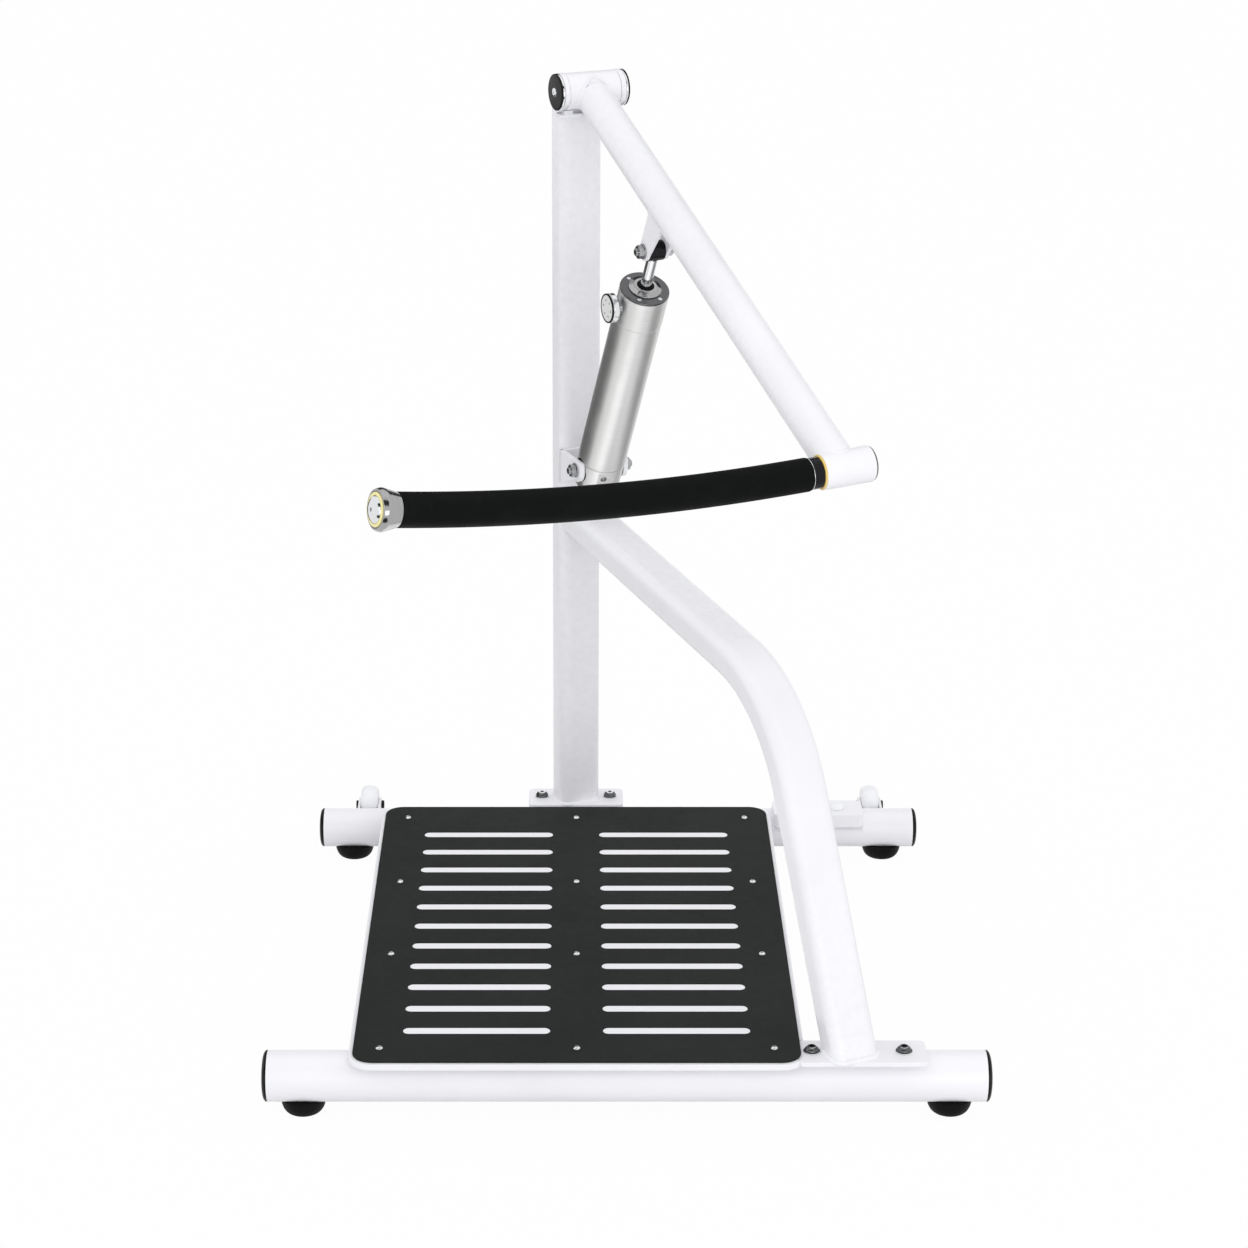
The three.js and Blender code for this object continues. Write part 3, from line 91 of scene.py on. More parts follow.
# Pads and flanges
PAD_MARGIN, PAD_SADDLE, PAD_BITE = 3, 16, 1.5
FLANGE_DEPTH, FLANGE_CORNER, FLANGE_EDGE = 70, 10, 1.3
MAST_FLANGE = {"width": 165, "thickness": 12, "bolts": 119}
BRACE_FLANGE = {"width": 191, "thickness": 7, "bolts": 136}
BRACE_FLANGE_X, BRACE_BOLT_SHIFT = 420.5, -6.5
MAST_Y, MAST_PAD_TOP, BRACE_PAD_TOP = 458, 95, 95.5
PAD_DEPTH = FLANGE_DEPTH - 2 * PAD_MARGIN
MAST_PAD = {"x": 0, "y": MAST_Y, "width": MAST_FLANGE["width"], "depth": PAD_DEPTH, "top": MAST_PAD_TOP}
BRACE_PAD = {
    "x": BRACE_FLANGE_X, "y": -450, "width": BRACE_FLANGE["width"], "depth": 44, "top": BRACE_PAD_TOP,
}
SPARE_PAD = {"x": 424, "y": 442, "width": 162, "depth": PAD_DEPTH, "top": 93}
SPARE_BOLTS, SPARE_CAP_RADIUS, SPARE_CAP_HEIGHT = 66, 14, 9
BOLT_HEAD, BOLT_HEIGHT, BOLT_CROWN = 10.75, 7, 6.2
BOLT_SOCKET, BOLT_SOCKET_DEPTH, CROWN_SOCKET_DEPTH = 3.4, 3.6, 3
MAST_BOLT_TURN, BRACE_BOLT_TURN = 14, 21
WASHER_RADIUS, WASHER_THICKNESS = 12.5, 2

# Mast and brace
SPINE_WIDTH, SPINE_DEPTH, SPINE_CORNER = 74, 54, 17
MAST_SINK = 2
BRACE_FOOT_X, BRACE_FOOT_Y = 402, -462
BRACE_DROP, BRACE_TOP_SLOPE, BRACE_FOOT_SLOPE, BRACE_BEND = 723.5, 4.3, 63, 260
BEND_STEPS = 28
BRACE_TRIM_UP, BRACE_TRIM_BACK, BRACE_TRIM_SIDE = 110, 120, 60
FOOT_TRIM_ALONG, FOOT_TRIM_SIDE = 200, 90

# Pivot head
PIVOT_ADVANCE, PIVOT_HEIGHT, PIVOT_RADIUS, PIVOT_WALL, PIVOT_LENGTH = 51.3, 1360.5, 29, 6, 88
EAR_THICKNESS, EAR_RADIUS, YOKE_PLATE = 8.5, 29.7, 6
YOKE_FOOT_ADVANCE, YOKE_FOOT_RADIUS = 41, 15
FILLER_BACK, FILLER_FRONT, FILLER_MIDDLE, FILLER_CLEAR, FILLER_LAP = 27, 4, -7, 1.5, 2
MAST_DROP = 42.5
AXLE_RADIUS = 12.5
RING_RADIUS, RING_THICKNESS = 29.5, 3.5
PIVOT_CAP_RADIUS, PIVOT_CAP_THICKNESS, PIVOT_CAP_DOME = 29, 2.6, 1.6
CAP_BOLT_RADIUS, CAP_BOLT_HEIGHT, CAP_BOLT_SOCKET = 7.5, 1.9, 3.6

# Arm
ARM_LENGTH, ARM_DROP, ARM_RADIUS = 946.7, 23.93, 28.5
HUB_RADIUS, HUB_WALL, HUB_LEFT, HUB_RIGHT, HUB_TILT = 26, 4, 30, 42, 3
EAR_ALONG, EAR_BELOW, EAR_END, EAR_ROOT, EAR_ROOT_SHIFT = 313.4, 87.7, 15, 50, 14
ARM_EAR_THICKNESS, ARM_EAR_GAP, ARM_EAR_SINK = 6, 26, 12

# Cylinder bracket and pivot bolts
LOWER_PIN_ADVANCE, LOWER_PIN_DROP = 96.5, 618.4
BRACKET_GAP, BRACKET_THICKNESS, BRACKET_WEB, BRACKET_HEIGHT, BRACKET_EAR = 70, 8, 6, 84, 20
BRACKET_RISE, BRACKET_CORNER = 16, 5
PIN_RADIUS, PIN_NUT, PIN_NUT_HEIGHT, PIN_WASHER, PIN_WASHER_THICKNESS, PIN_END = 6, 19, 8, 12, 2, 4

# Cylinder, from its lower pin along its axis
BARREL_RADIUS, BARREL_WALL, BARREL_START = 39.5, 4, 26
HEAD_LENGTH, HEAD_RADIUS, COVER_THICKNESS, COVER_CHAMFER, COVER_TO_PIN = 66, 40, 10, 2.5, 75.7
COVER_PLATE, SEAM_LIFT = 4, 16
GLAND_RADIUS, GLAND_HEIGHT, GLAND_FLOOR = 21, 6, 3
GLAND_FLARE, GLAND_BRIM = 26.5, 2.2
SEAL_RADIUS, SEAL_HEIGHT = 13.5, 8
COVER_SCREW_REACH, COVER_SCREW_RADIUS, COVER_SCREW_SOCKET = 32, 3.5, 3.6
COVER_SCREW_TURNS = (28, 211, 322)
BLOCK_WIDTH, BLOCK_RADIUS, BLOCK_DROP, BLOCK_END, OPEN_PIVOT = 69, 38.5, 28, 33, 20
BLOCK_GROOVE, BLOCK_COLLAR, BLOCK_SPARE = 1.2, 3, 8
PORT_RADIUS, PORT_DEPTH, PORT_HEIGHT, PORT_REACH = 5.2, 14, 5, 40
PORT_FLAT_WIDTH, PORT_FLAT_TOP, PORT_FLAT, PORT_FLAT_REACH, PORT_TURN = 21, 18, 35.5, 20, -12
ROD_RADIUS, ROD_EYE, ROD_EYE_WIDTH = 9, 16, 25
ROD_START, PISTON_TOP = 34, 56.3
DIAL_BELOW_COVER, DIAL_STEM, DIAL_STAND, DIAL_RADIUS, DIAL_THICKNESS = 34, 8, 5, 23.5, 14
DIAL_STEM_START, STEM_PORT_START, STEM_PORT_END = 25, 20, 60
DIAL_FACE, DIAL_FACE_THICKNESS, DIAL_FACE_INSET, DIAL_SEAT = 20.9, 2, 0.6, 30
DIAL_PRINT_THICKNESS, DIAL_GROOVE = 1.7, 0.7
DIAL_MARKS, DIAL_MARK_REACH, DIAL_MARK_RADIUS, DIAL_MARK_TURN, DIAL_MARK_SIDES = 6, 13, 1.9, 0.26, 24
DIAL_RIM, DIAL_RIM_THICKNESS = 21.2, 2.6

# Handle, along the bar from the middle of the hub
BAR_RADIUS, BAR_WALL, BAR_CAMBER, BAR_TAIL = 19, 4, 2720, 38
INNER_COLLAR_END, INNER_COLLAR = 50, 22.6
COLLAR_RING, COLLAR_RING_WIDTH = 23.4, 1.0
GRIP_RADIUS, GRIP_END = 24, 667
TIP_END, TIP_FACE, TIP_RADIUS, TIP_ROOT = 693, 697, 29.5, 23.7
TIP_CONE, TIP_BAND, TIP_MOUTH, TIP_LIP = 20.5, 3.6, 24.9, 2.2
TIP_RING, TIP_RING_FACE = 23.25, 698.4
PLUG_RADIUS, PLUG_END, PLUG_DOME, PLUG_HOLE, PLUG_DEPTH = 18.5, 703.9, 6.3, 2.6, 26
BUSH_WALL, BUSH_LENGTH, BUSH_FLANGE = 2.6, 22, 3
HUB_LIP, HUB_LIP_STEP = 24.6, 2.4
END_CAP_RADIUS, END_CAP_THICKNESS, END_CAP_DEPTH = 25, 3, 10
CAMBER_PITCH = 8

# Transport wheels
WHEEL_RADIUS, WHEEL_WIDTH, WHEEL_ROUND, WHEEL_CROWN, WHEEL_STEPS = 34.8, 30, 13.8, 9, 12
WHEEL_X = {"left": -367, "right": 523}
WHEEL_SETBACK, WHEEL_AXLE_Z = 76, 61
WHEEL_BORE, WHEEL_HUB, WHEEL_HUB_EDGE = 5.25, 5, 6.5
WHEEL_EAR_THICKNESS, WHEEL_EAR, WHEEL_EAR_ROOT = 4.5, 13.5, 17
WHEEL_BOLT, WHEEL_BOLT_HEAD, WHEEL_BOLT_HEIGHT = 5, 15, 4.4

# Weld beads
BEAD_RADIUS, BEAD_RIPPLE, BEAD_PITCH, BEAD_SIDES = 2.6, 0.08, 4.2, 10
PAD_BEAD, PAD_BEAD_SPREAD = 2.2, 0.96
MAST_BEAD, BRACE_BEAD, BRACE_FOOT_BEAD = 3.2, 2.8, 4.2
HUB_BEAD, EAR_BEAD, ARM_BEAD_SINK = 2.8, 1.8, 0.4


# Places: the machine's frame, the spine turned into the arm's plane, and what hangs on it
def turn(degrees, axis):
    return Matrix.Rotation(math.radians(degrees), 4, axis)


def shift(x, y, z):
    return Matrix.Translation((x, y, z))


plate_low, plate_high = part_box("platform_plate")
plate_middle = (plate_low + plate_high) / 2
MILLIMETRE = Matrix.Scale(METRES, 4)
BASE = shift(plate_middle.x, plate_middle.y - PLATE_CENTRE_Y * METRES, 0) @ MILLIMETRE
SPINE_HEADING = math.degrees(math.atan2(BRACE_FOOT_X, MAST_Y - BRACE_FOOT_Y))
SPINE_RUN = math.hypot(BRACE_FOOT_X, MAST_Y - BRACE_FOOT_Y)
SPINE = BASE @ shift(0, MAST_Y, 0) @ turn(SPINE_HEADING - 90, "Z")
PIVOT = SPINE @ shift(PIVOT_ADVANCE, 0, PIVOT_HEIGHT)
ARM = PIVOT @ turn(ARM_DROP, "Y")
HUB = ARM @ shift(ARM_LENGTH, 0, 0) @ turn(HUB_TILT, "X")
MAST_TOP = PIVOT_HEIGHT - MAST_DROP
BRACE_TOP = PIVOT_HEIGHT - BRACE_DROP
LOWER_PIN_HEIGHT = PIVOT_HEIGHT - LOWER_PIN_DROP
DROP = math.radians(ARM_DROP)
EYE_X = PIVOT_ADVANCE + EAR_ALONG * math.cos(DROP) - EAR_BELOW * math.sin(DROP)
EYE_Z = PIVOT_HEIGHT - EAR_ALONG * math.sin(DROP) - EAR_BELOW * math.cos(DROP)
LEAN = math.degrees(math.atan2(EYE_X - LOWER_PIN_ADVANCE, EYE_Z - LOWER_PIN_HEIGHT))
STROKE_LENGTH = math.hypot(EYE_X - LOWER_PIN_ADVANCE, EYE_Z - LOWER_PIN_HEIGHT)
COVER_END = STROKE_LENGTH - COVER_TO_PIN
COVER_START = COVER_END - COVER_PLATE
HEAD_END = COVER_END - COVER_THICKNESS
HEAD_START = HEAD_END - HEAD_LENGTH
BARREL_END = HEAD_START + SEAM_LIFT
DIAL_HEIGHT = COVER_END - DIAL_BELOW_COVER
LOWER_PIN = SPINE @ shift(LOWER_PIN_ADVANCE, 0, LOWER_PIN_HEIGHT)
CYLINDER = LOWER_PIN @ turn(LEAN, "Y")
TO_LEFT, TO_RIGHT, TO_X = turn(90, "X"), turn(-90, "X"), turn(90, "Y")
SIDEWAYS = turn(90, "X")
DIAL_AXIS = CYLINDER @ shift(0, 0, DIAL_HEIGHT) @ TO_LEFT
MAST_FLANGE_BOTTOM = MAST_PAD_TOP + SEAT_GAP
MAST_FLANGE_TOP = MAST_FLANGE_BOTTOM + MAST_FLANGE["thickness"]
BRACE_FLANGE_BOTTOM = BRACE_PAD_TOP + SEAT_GAP
BRACE_FLANGE_TOP = BRACE_FLANGE_BOTTOM + BRACE_FLANGE["thickness"]
DECK_TOP = PLATE_TOP - PLATE_THICKNESS - SEAT_GAP
SLOT_PLACES = [
    (x, SLOT_SHIFT + (row - (SLOT_ROWS - 1) / 2) * SLOT_PITCH)
    for row in range(SLOT_ROWS) for x in (-SLOT_CENTRE_X, SLOT_CENTRE_X)
]
YOKE_INNER = PIVOT_LENGTH / 2 + SLIDING_GAP
YOKE_OUTER = YOKE_INNER + EAR_THICKNESS
RING_OUTER = YOKE_OUTER + SEAT_GAP + RING_THICKNESS
YOKE_TOP = MAST_TOP + YOKE_PLATE
FILLER_TOP = PIVOT_HEIGHT - PIVOT_RADIUS - 1
PIN_BORE, ROD_BORE, BAR_BORE = (radius + SEAT_GAP for radius in (PIN_RADIUS, ROD_RADIUS, BAR_RADIUS))
BAR_INSIDE = BAR_RADIUS - BAR_WALL


# Mesh making
def keep_mesh(name, bm, place):
    """Turns a bmesh drawn in millimetres into an object in the row frame."""
    bmesh.ops.recalc_face_normals(bm, faces=bm.faces)
    bm.transform(place)
    mesh = bpy.data.meshes.new(name)
    bm.to_mesh(mesh)
    bm.free()
    made = bpy.data.objects.new(name, mesh)
    bpy.context.scene.collection.objects.link(made)
    return made


def eased(points, ease, closed):
    """Rounds the corners of a profile. A point may carry its own ease as a third value."""
    out = []
    for index, point in enumerate(points):
        here = Vector(point[:2])
        size = point[2] if len(point) > 2 else ease
        if size == 0 or (not closed and index in (0, len(points) - 1)):
            out.append(here)
            continue
        back = Vector(points[index - 1][:2]) - here
        ahead = Vector(points[(index + 1) % len(points)][:2]) - here
        start = here + back.normalized() * min(size, back.length * 0.45)
        end = here + ahead.normalized() * min(size, ahead.length * 0.45)
        for step in range(EASE_STEPS + 1):
            t = step / EASE_STEPS
            out.append(start * (1 - t) ** 2 + here * 2 * t * (1 - t) + end * t ** 2)
    return out


def turned(name, profile, place, sides=ROUND_SIDES, ease=0.5, closed=False):
    """A turned body round +Z from (radius, height) points; closed profiles make rings and sleeves."""
    points = eased(profile, ease, closed)
    bm = bmesh.new()
    lines = bm.loops.layers.uv.new("UVMap")
    rings = []
    along = [0.0]
    for here, after in zip(points, points[1:]):
        along.append(along[-1] + (after - here).length)
    for point in points:
        if point.x < 1e-6:
            rings.append([bm.verts.new((0, 0, point.y))] * sides)
            continue
        ring = []
        for side in range(sides):
            angle = math.tau * side / sides
            ring.append(bm.verts.new((point.x * math.cos(angle), point.x * math.sin(angle), point.y)))
        rings.append(ring)
    widest = max(point.x for point in points)
    pairs = list(zip(range(len(points)), range(1, len(points))))
    if closed:
        pairs.append((len(points) - 1, 0))
        along.append(along[-1] + (points[0] - points[-1]).length)
    for low, high in pairs:
        reached = high or low + 1  # a closed profile comes back to its first ring, but its texture runs on
        for side in range(sides):
            after = (side + 1) % sides
            corners = [
                (rings[low][side], side, low), (rings[low][after], side + 1, low),
                (rings[high][after], side + 1, reached), (rings[high][side], side, reached),
            ]
            seen = []
            for corner in corners:
                if corner[0] not in [other[0] for other in seen]:
                    seen.append(corner)
            if len(seen) < 3:
                continue
            face = bm.faces.new([corner[0] for corner in seen])
            for loop, corner in zip(face.loops, seen):
                loop[lines].uv = (corner[1] / sides * math.tau * widest * METRES, along[corner[2]] * METRES)
    return keep_mesh(name, bm, place)


def lofted(name, rings, place, closed=False, capped=True):
    """Joins equal rings of points, each a list of vectors, into one skin."""
    bm = bmesh.new()
    lines = bm.loops.layers.uv.new("UVMap")
    verts = [[bm.verts.new(point) for point in ring] for ring in rings]
    around = [0.0]
    for here, after in zip(rings[0], rings[0][1:] + rings[0][:1]):
        around.append(around[-1] + (after - here).length)
    along = 0.0
    count = len(rings[0])
    for index in range(len(rings) if closed else len(rings) - 1):
        low, high = verts[index], verts[(index + 1) % len(rings)]
        step = (rings[(index + 1) % len(rings)][0] - rings[index][0]).length
        for side in range(count):
            after = (side + 1) % count
            face = bm.faces.new((low[side], low[after], high[after], high[side]))
            places = [(around[side], along), (around[side + 1], along),
                      (around[side + 1], along + step), (around[side], along + step)]
            for loop, (u, v) in zip(face.loops, places):
                loop[lines].uv = (u * METRES, v * METRES)
        along += step
    if capped and not closed:
        bm.faces.new(verts[0])
        bm.faces.new(verts[-1])
    return keep_mesh(name, bm, place)


def rounded_rectangle(width, depth, radius, steps=CORNER_STEPS):
    points = []
    for index, (sx, sy) in enumerate([(1, 1), (-1, 1), (-1, -1), (1, -1)]):
        centre = Vector((sx * (width / 2 - radius), sy * (depth / 2 - radius)))
        for step in range(steps + 1):
            angle = math.pi / 2 * (index + step / steps)
            points.append(centre + Vector((math.cos(angle), math.sin(angle))) * radius)
    return points


def circle(radius, x=0.0, y=0.0, sides=SMALL_SIDES, start=0.0, end=math.tau):
    open_arc = end - start < math.tau - 1e-6
    count = sides + 1 if open_arc else sides
    return [
        Vector((x + radius * math.cos(start + (end - start) * step / sides),
                y + radius * math.sin(start + (end - start) * step / sides)))
        for step in range(count)
    ]


def tangent_outline(first, second, steps=32):
    """Outline round two circles, each (x, y, radius)."""
    heading = math.atan2(second[1] - first[1], second[0] - first[0])
    reach = math.hypot(second[0] - first[0], second[1] - first[1])
    lean = math.acos((first[2] - second[2]) / reach)
    near = circle(first[2], first[0], first[1], steps, heading + lean, heading - lean + math.tau)
    far = circle(second[2], second[0], second[1], steps, heading - lean, heading + lean)
    return near + far


def plate(name, outline, z0, z1, place, edge=0.8, holes=()):
    """A flat plate with eased edges, drawn as an outline with holes and standing from z0 to z1."""
    curve = bpy.data.curves.new(name, "CURVE")
    curve.dimensions = "2D"
    curve.fill_mode = "BOTH"
    curve.extrude = (z1 - z0) / 2 - edge
    curve.bevel_depth = edge
    curve.bevel_resolution = 2
    curve.offset = -edge
    for loop in (outline, *holes):
        spline = curve.splines.new("POLY")
        spline.points.add(len(loop) - 1)
        spline.use_cyclic_u = True
        for point, spot in zip(spline.points, loop):
            point.co = (spot[0], spot[1], 0, 1)
    drawn = bpy.data.objects.new(name, curve)
    bpy.context.scene.collection.objects.link(drawn)
    bpy.context.view_layer.update()
    mesh = bpy.data.meshes.new_from_object(drawn.evaluated_get(bpy.context.evaluated_depsgraph_get()))
    bm = bmesh.new()
    bm.from_mesh(mesh)
    bpy.data.objects.remove(drawn)
    bpy.data.meshes.remove(mesh)
    bpy.data.curves.remove(curve)
    bmesh.ops.remove_doubles(bm, verts=bm.verts, dist=0.002)
    return keep_mesh(name, bm, place @ shift(0, 0, (z0 + z1) / 2))


def block(name, x0, x1, y0, y1, z0, z1, place, edge=0.8):
    outline = [(x0, y0), (x1, y0), (x1, y1), (x0, y1)]
    return plate(name, outline, z0, z1, place, edge)


def hexagon(width, turned_by=0.0):
    return circle(width / math.sqrt(3), sides=6, start=turned_by, end=turned_by + math.tau)


def dome(radius, low, rise, steps, fullness):
    """The curve of a dome between its edge and its crown; a low fullness makes it flatter on top."""
    curve = []
    for step in range(1, steps):
        angle = step / steps * math.pi / 2
        curve.append((radius * math.cos(angle) ** fullness, low + rise * math.sin(angle), 0))
    return curve


def round_tool(radius, low, high, place, sides=TOOL_SIDES):
    """A plain round bar along +Z, which cuts a bore."""
    return turned("tool", [(0, low), (radius, low, 0), (radius, high, 0), (0, high)], place, sides)


def hex_tool(width, low, high, place):
    """A plain hexagonal bar along +Z, which cuts a socket."""
    return plate("tool", hexagon(width), low, high, place, TOOL_EDGE)


def solid_now(made):
    """Applies a piece's modifiers to its mesh."""
    bpy.context.view_layer.update()
    mesh = bpy.data.meshes.new_from_object(made.evaluated_get(bpy.context.evaluated_depsgraph_get()))
    made.modifiers.clear()
    made.data = mesh
    return made


def cut(made, *tools):
    for tool in tools:
        step = made.modifiers.new("cut", "BOOLEAN")
        step.operation = "DIFFERENCE"
        step.solver = "EXACT"
        step.object = tool
    solid_now(made)
    for tool in tools:
        bpy.data.objects.remove(tool)
    return made


def common(made, tool):
    step = made.modifiers.new("common", "BOOLEAN")
    step.operation = "INTERSECT"
    step.solver = "EXACT"
    step.object = tool
    solid_now(made)
    bpy.data.objects.remove(tool)
    return made


def soften(made, width, segments=2, angle=40):
    """Eases the sharp edges that cuts leave."""
    step = made.modifiers.new("edges", "BEVEL")
    step.width = width * METRES
    step.segments = segments
    step.limit_method = "ANGLE"
    step.angle_limit = math.radians(angle)
    step.harden_normals = False
    return solid_now(made)


def gathered(name, parts):
    """One object from several, in the row frame."""
    bm = bmesh.new()
    for part in parts:
        bm.from_mesh(part.data)
    mesh = bpy.data.meshes.new(name)
    bm.to_mesh(mesh)
    bm.free()
    for part in parts:
        bpy.data.objects.remove(part)
    made = bpy.data.objects.new(name, mesh)
    bpy.context.scene.collection.objects.link(made)
    return made


def weld_bead(name, path, place, radius=BEAD_RADIUS):
    """A rippled weld bead along a closed loop of points."""
    count = len(path)
    middle = sum(path, Vector()) / count
    length = sum((path[index] - path[index - 1]).length for index in range(count))
    ripples = max(1, round(length / BEAD_PITCH))
    rings = []
    travelled = 0.0
    for index, point in enumerate(path):
        ahead = (path[(index + 1) % count] - path[index - 1]).normalized()
        outward = point - middle
        outward = (outward - ahead * outward.dot(ahead)).normalized()
        side = ahead.cross(outward)
        size = radius * (1 + BEAD_RIPPLE * math.sin(math.tau * ripples * travelled / length))
        rings.append([
            point + (outward * math.cos(angle) + side * math.sin(angle)) * size
            for angle in (math.tau * step / BEAD_SIDES for step in range(BEAD_SIDES))
        ])
        travelled += (path[(index + 1) % count] - point).length
    return lofted(name, rings, place, closed=True)


def resampled(path, pitch=1.0):
    """The same closed loop with points a pitch apart."""
    out = []
    for index, point in enumerate(path):
        after = path[(index + 1) % len(path)]
        steps = max(1, round((after - point).length / pitch))
        out += [point.lerp(after, step / steps) for step in range(steps)]
    return out


# Finishes: shared effects as groups that give heights, masks and tones
def new_group(name, inputs, outputs):
    group = bpy.data.node_groups.new(name, "ShaderNodeTree")
    for label, kind, value in inputs:
        socket = group.interface.new_socket(name=label, in_out="INPUT", socket_type=kind)
        if value is not None:
            socket.default_value = value
    for label, kind in outputs:
        group.interface.new_socket(name=label, in_out="OUTPUT", socket_type=kind)
    start = group.nodes.new("NodeGroupInput")
    end = group.nodes.new("NodeGroupOutput")
    return group, start, end


def wire(tree, *pairs):
    for out_socket, in_socket in pairs:
        tree.links.new(out_socket, in_socket)


def noise(tree, scale, detail=2.0, roughness=0.5):
    node = tree.nodes.new("ShaderNodeTexNoise")
    node.inputs["Detail"].default_value = detail
    node.inputs["Roughness"].default_value = roughness
    if isinstance(scale, (int, float)):
        node.inputs["Scale"].default_value = scale
    else:
        tree.links.new(scale, node.inputs["Scale"])
    return node


def spread(tree, value, low, high, new_low=0.0, new_high=1.0):
    node = tree.nodes.new("ShaderNodeMapRange")
    node.clamp = True
    for label, number in (("From Min", low), ("From Max", high), ("To Min", new_low), ("To Max", new_high)):
        node.inputs[label].default_value = number
    tree.links.new(value, node.inputs["Value"])
    return node.outputs["Result"]


def arithmetic(tree, kind, first, second):
    node = tree.nodes.new("ShaderNodeMath")
    node.operation = kind
    for socket, value in zip(node.inputs, (first, second)):
        if isinstance(value, (int, float)):
            socket.default_value = value
        else:
            tree.links.new(value, socket)
    return node.outputs["Value"]


FLOAT = "NodeSocketFloat"


def make_powder_group():
    """Sprayed powder: the fine dimples of its skin and the slow change of tone over a panel."""
    group, start, end = new_group(
        "powder skin", [("Dimple scale", FLOAT, 700.0), ("Cloud scale", FLOAT, 5.0)],
        [("Height", FLOAT), ("Tone", FLOAT), ("Gloss", FLOAT)],
    )
    where = group.nodes.new("ShaderNodeTexCoord").outputs["Object"]
    dimples = noise(group, start.outputs["Dimple scale"], detail=3.0, roughness=0.55)
    clouds = noise(group, start.outputs["Cloud scale"], detail=2.0)
    fine = noise(group, 60.0, detail=4.0, roughness=0.6)
    for grain in (dimples, clouds, fine):
        wire(group, (where, grain.inputs["Vector"]))
    wire(
        group, (dimples.outputs["Fac"], end.inputs["Height"]),
        (spread(group, clouds.outputs["Fac"], 0.3, 0.7), end.inputs["Tone"]),
        (spread(group, fine.outputs["Fac"], 0.3, 0.7), end.inputs["Gloss"]),
    )
    return group


def make_painted_edge_group():
    """A broken mask along the outer corners, where the finishes paint their edge colour: a painted sheen
    where that colour is lighter, a darker edge on white.
    """
    group, start, end = new_group(
        "painted edge tone", [("Amount", FLOAT, 0.5), ("Break scale", FLOAT, 90.0)], [("Mask", FLOAT)],
    )
    where = group.nodes.new("ShaderNodeTexCoord").outputs["Object"]
    bend = group.nodes.new("ShaderNodeNewGeometry").outputs["Pointiness"]
    breaks = noise(group, start.outputs["Break scale"], detail=4.0, roughness=0.65)
    wire(group, (where, breaks.inputs["Vector"]))
    corners = spread(group, bend, 0.52, 0.6)
    patches = spread(group, breaks.outputs["Fac"], 0.42, 0.66)
    mask = arithmetic(group, "MULTIPLY", corners, patches)
    wire(group, (arithmetic(group, "MULTIPLY", mask, start.outputs["Amount"]), end.inputs["Mask"]))
    return group


def make_brushed_group():
    """Lines that a lathe or a belt leaves: long across one way of the piece and fine across the other."""
    group, start, end = new_group(
        "brushed lines", [("Around", FLOAT, 6.0), ("Along", FLOAT, 2600.0)],
        [("Height", FLOAT), ("Streak", FLOAT), ("Smudge", FLOAT)],
    )
    where = group.nodes.new("ShaderNodeTexCoord")
    parted = group.nodes.new("ShaderNodeSeparateXYZ")
    joined = group.nodes.new("ShaderNodeCombineXYZ")
    wire(group, (where.outputs["UV"], parted.inputs["Vector"]))
    wire(
        group,
        (arithmetic(group, "MULTIPLY", parted.outputs["X"], start.outputs["Around"]), joined.inputs["X"]),
        (arithmetic(group, "MULTIPLY", parted.outputs["Y"], start.outputs["Along"]), joined.inputs["Y"]),
    )
    lines = noise(group, 1.0, detail=3.0, roughness=0.6)
    smudge = noise(group, 14.0, detail=3.0, roughness=0.6)
    wire(
        group, (joined.outputs["Vector"], lines.inputs["Vector"]),
        (where.outputs["Object"], smudge.inputs["Vector"]),
        (lines.outputs["Fac"], end.inputs["Height"]),
        (spread(group, lines.outputs["Fac"], 0.3, 0.7), end.inputs["Streak"]),
        (spread(group, smudge.outputs["Fac"], 0.35, 0.7), end.inputs["Smudge"]),
    )
    return group


def make_moulded_group():
    """Moulded rubber and plastic: a fine pebbled skin with a little dust in it."""
    group, start, end = new_group(
        "moulded grain", [("Pebble scale", FLOAT, 900.0), ("Dust scale", FLOAT, 30.0)],
        [("Height", FLOAT), ("Dust", FLOAT), ("Gloss", FLOAT)],
    )
    where = group.nodes.new("ShaderNodeTexCoord").outputs["Object"]
    pebbles = group.nodes.new("ShaderNodeTexVoronoi")
    pebbles.feature = "SMOOTH_F1"
    dust = noise(group, start.outputs["Dust scale"], detail=5.0, roughness=0.7)
    gloss = noise(group, 40.0, detail=2.0)
    wire(
        group, (where, pebbles.inputs["Vector"]), (start.outputs["Pebble scale"], pebbles.inputs["Scale"]),
        (where, dust.inputs["Vector"]), (where, gloss.inputs["Vector"]),
        (pebbles.outputs["Distance"], end.inputs["Height"]),
        (spread(group, dust.outputs["Fac"], 0.5, 0.8), end.inputs["Dust"]),
        (spread(group, gloss.outputs["Fac"], 0.3, 0.7), end.inputs["Gloss"]),
    )
    return group


POWDER = make_powder_group()
# Edge mask for painted edge tone: a painted sheen on most finishes, a slightly darker edge on white
PAINTED_EDGES = make_painted_edge_group()
BRUSHED = make_brushed_group()
MOULDED = make_moulded_group()


def srgb(red, green, blue):
    """A colour given as a screen shows it, in the linear values that shaders take."""
    linear = [((v / 255 + 0.055) / 1.055) ** 2.4 if v > 10 else v / 255 / 12.92 for v in (red, green, blue)]
    return (*linear, 1.0)


def new_finish(name):
    material = bpy.data.materials.new(name)
    material.use_nodes = True
    tree = material.node_tree
    return material, tree, tree.nodes["Principled BSDF"]


def placed(tree, group, **values):
    node = tree.nodes.new("ShaderNodeGroup")
    node.node_tree = group
    for label, value in values.items():
        node.inputs[label.replace("_", " ")].default_value = value
    return node.outputs


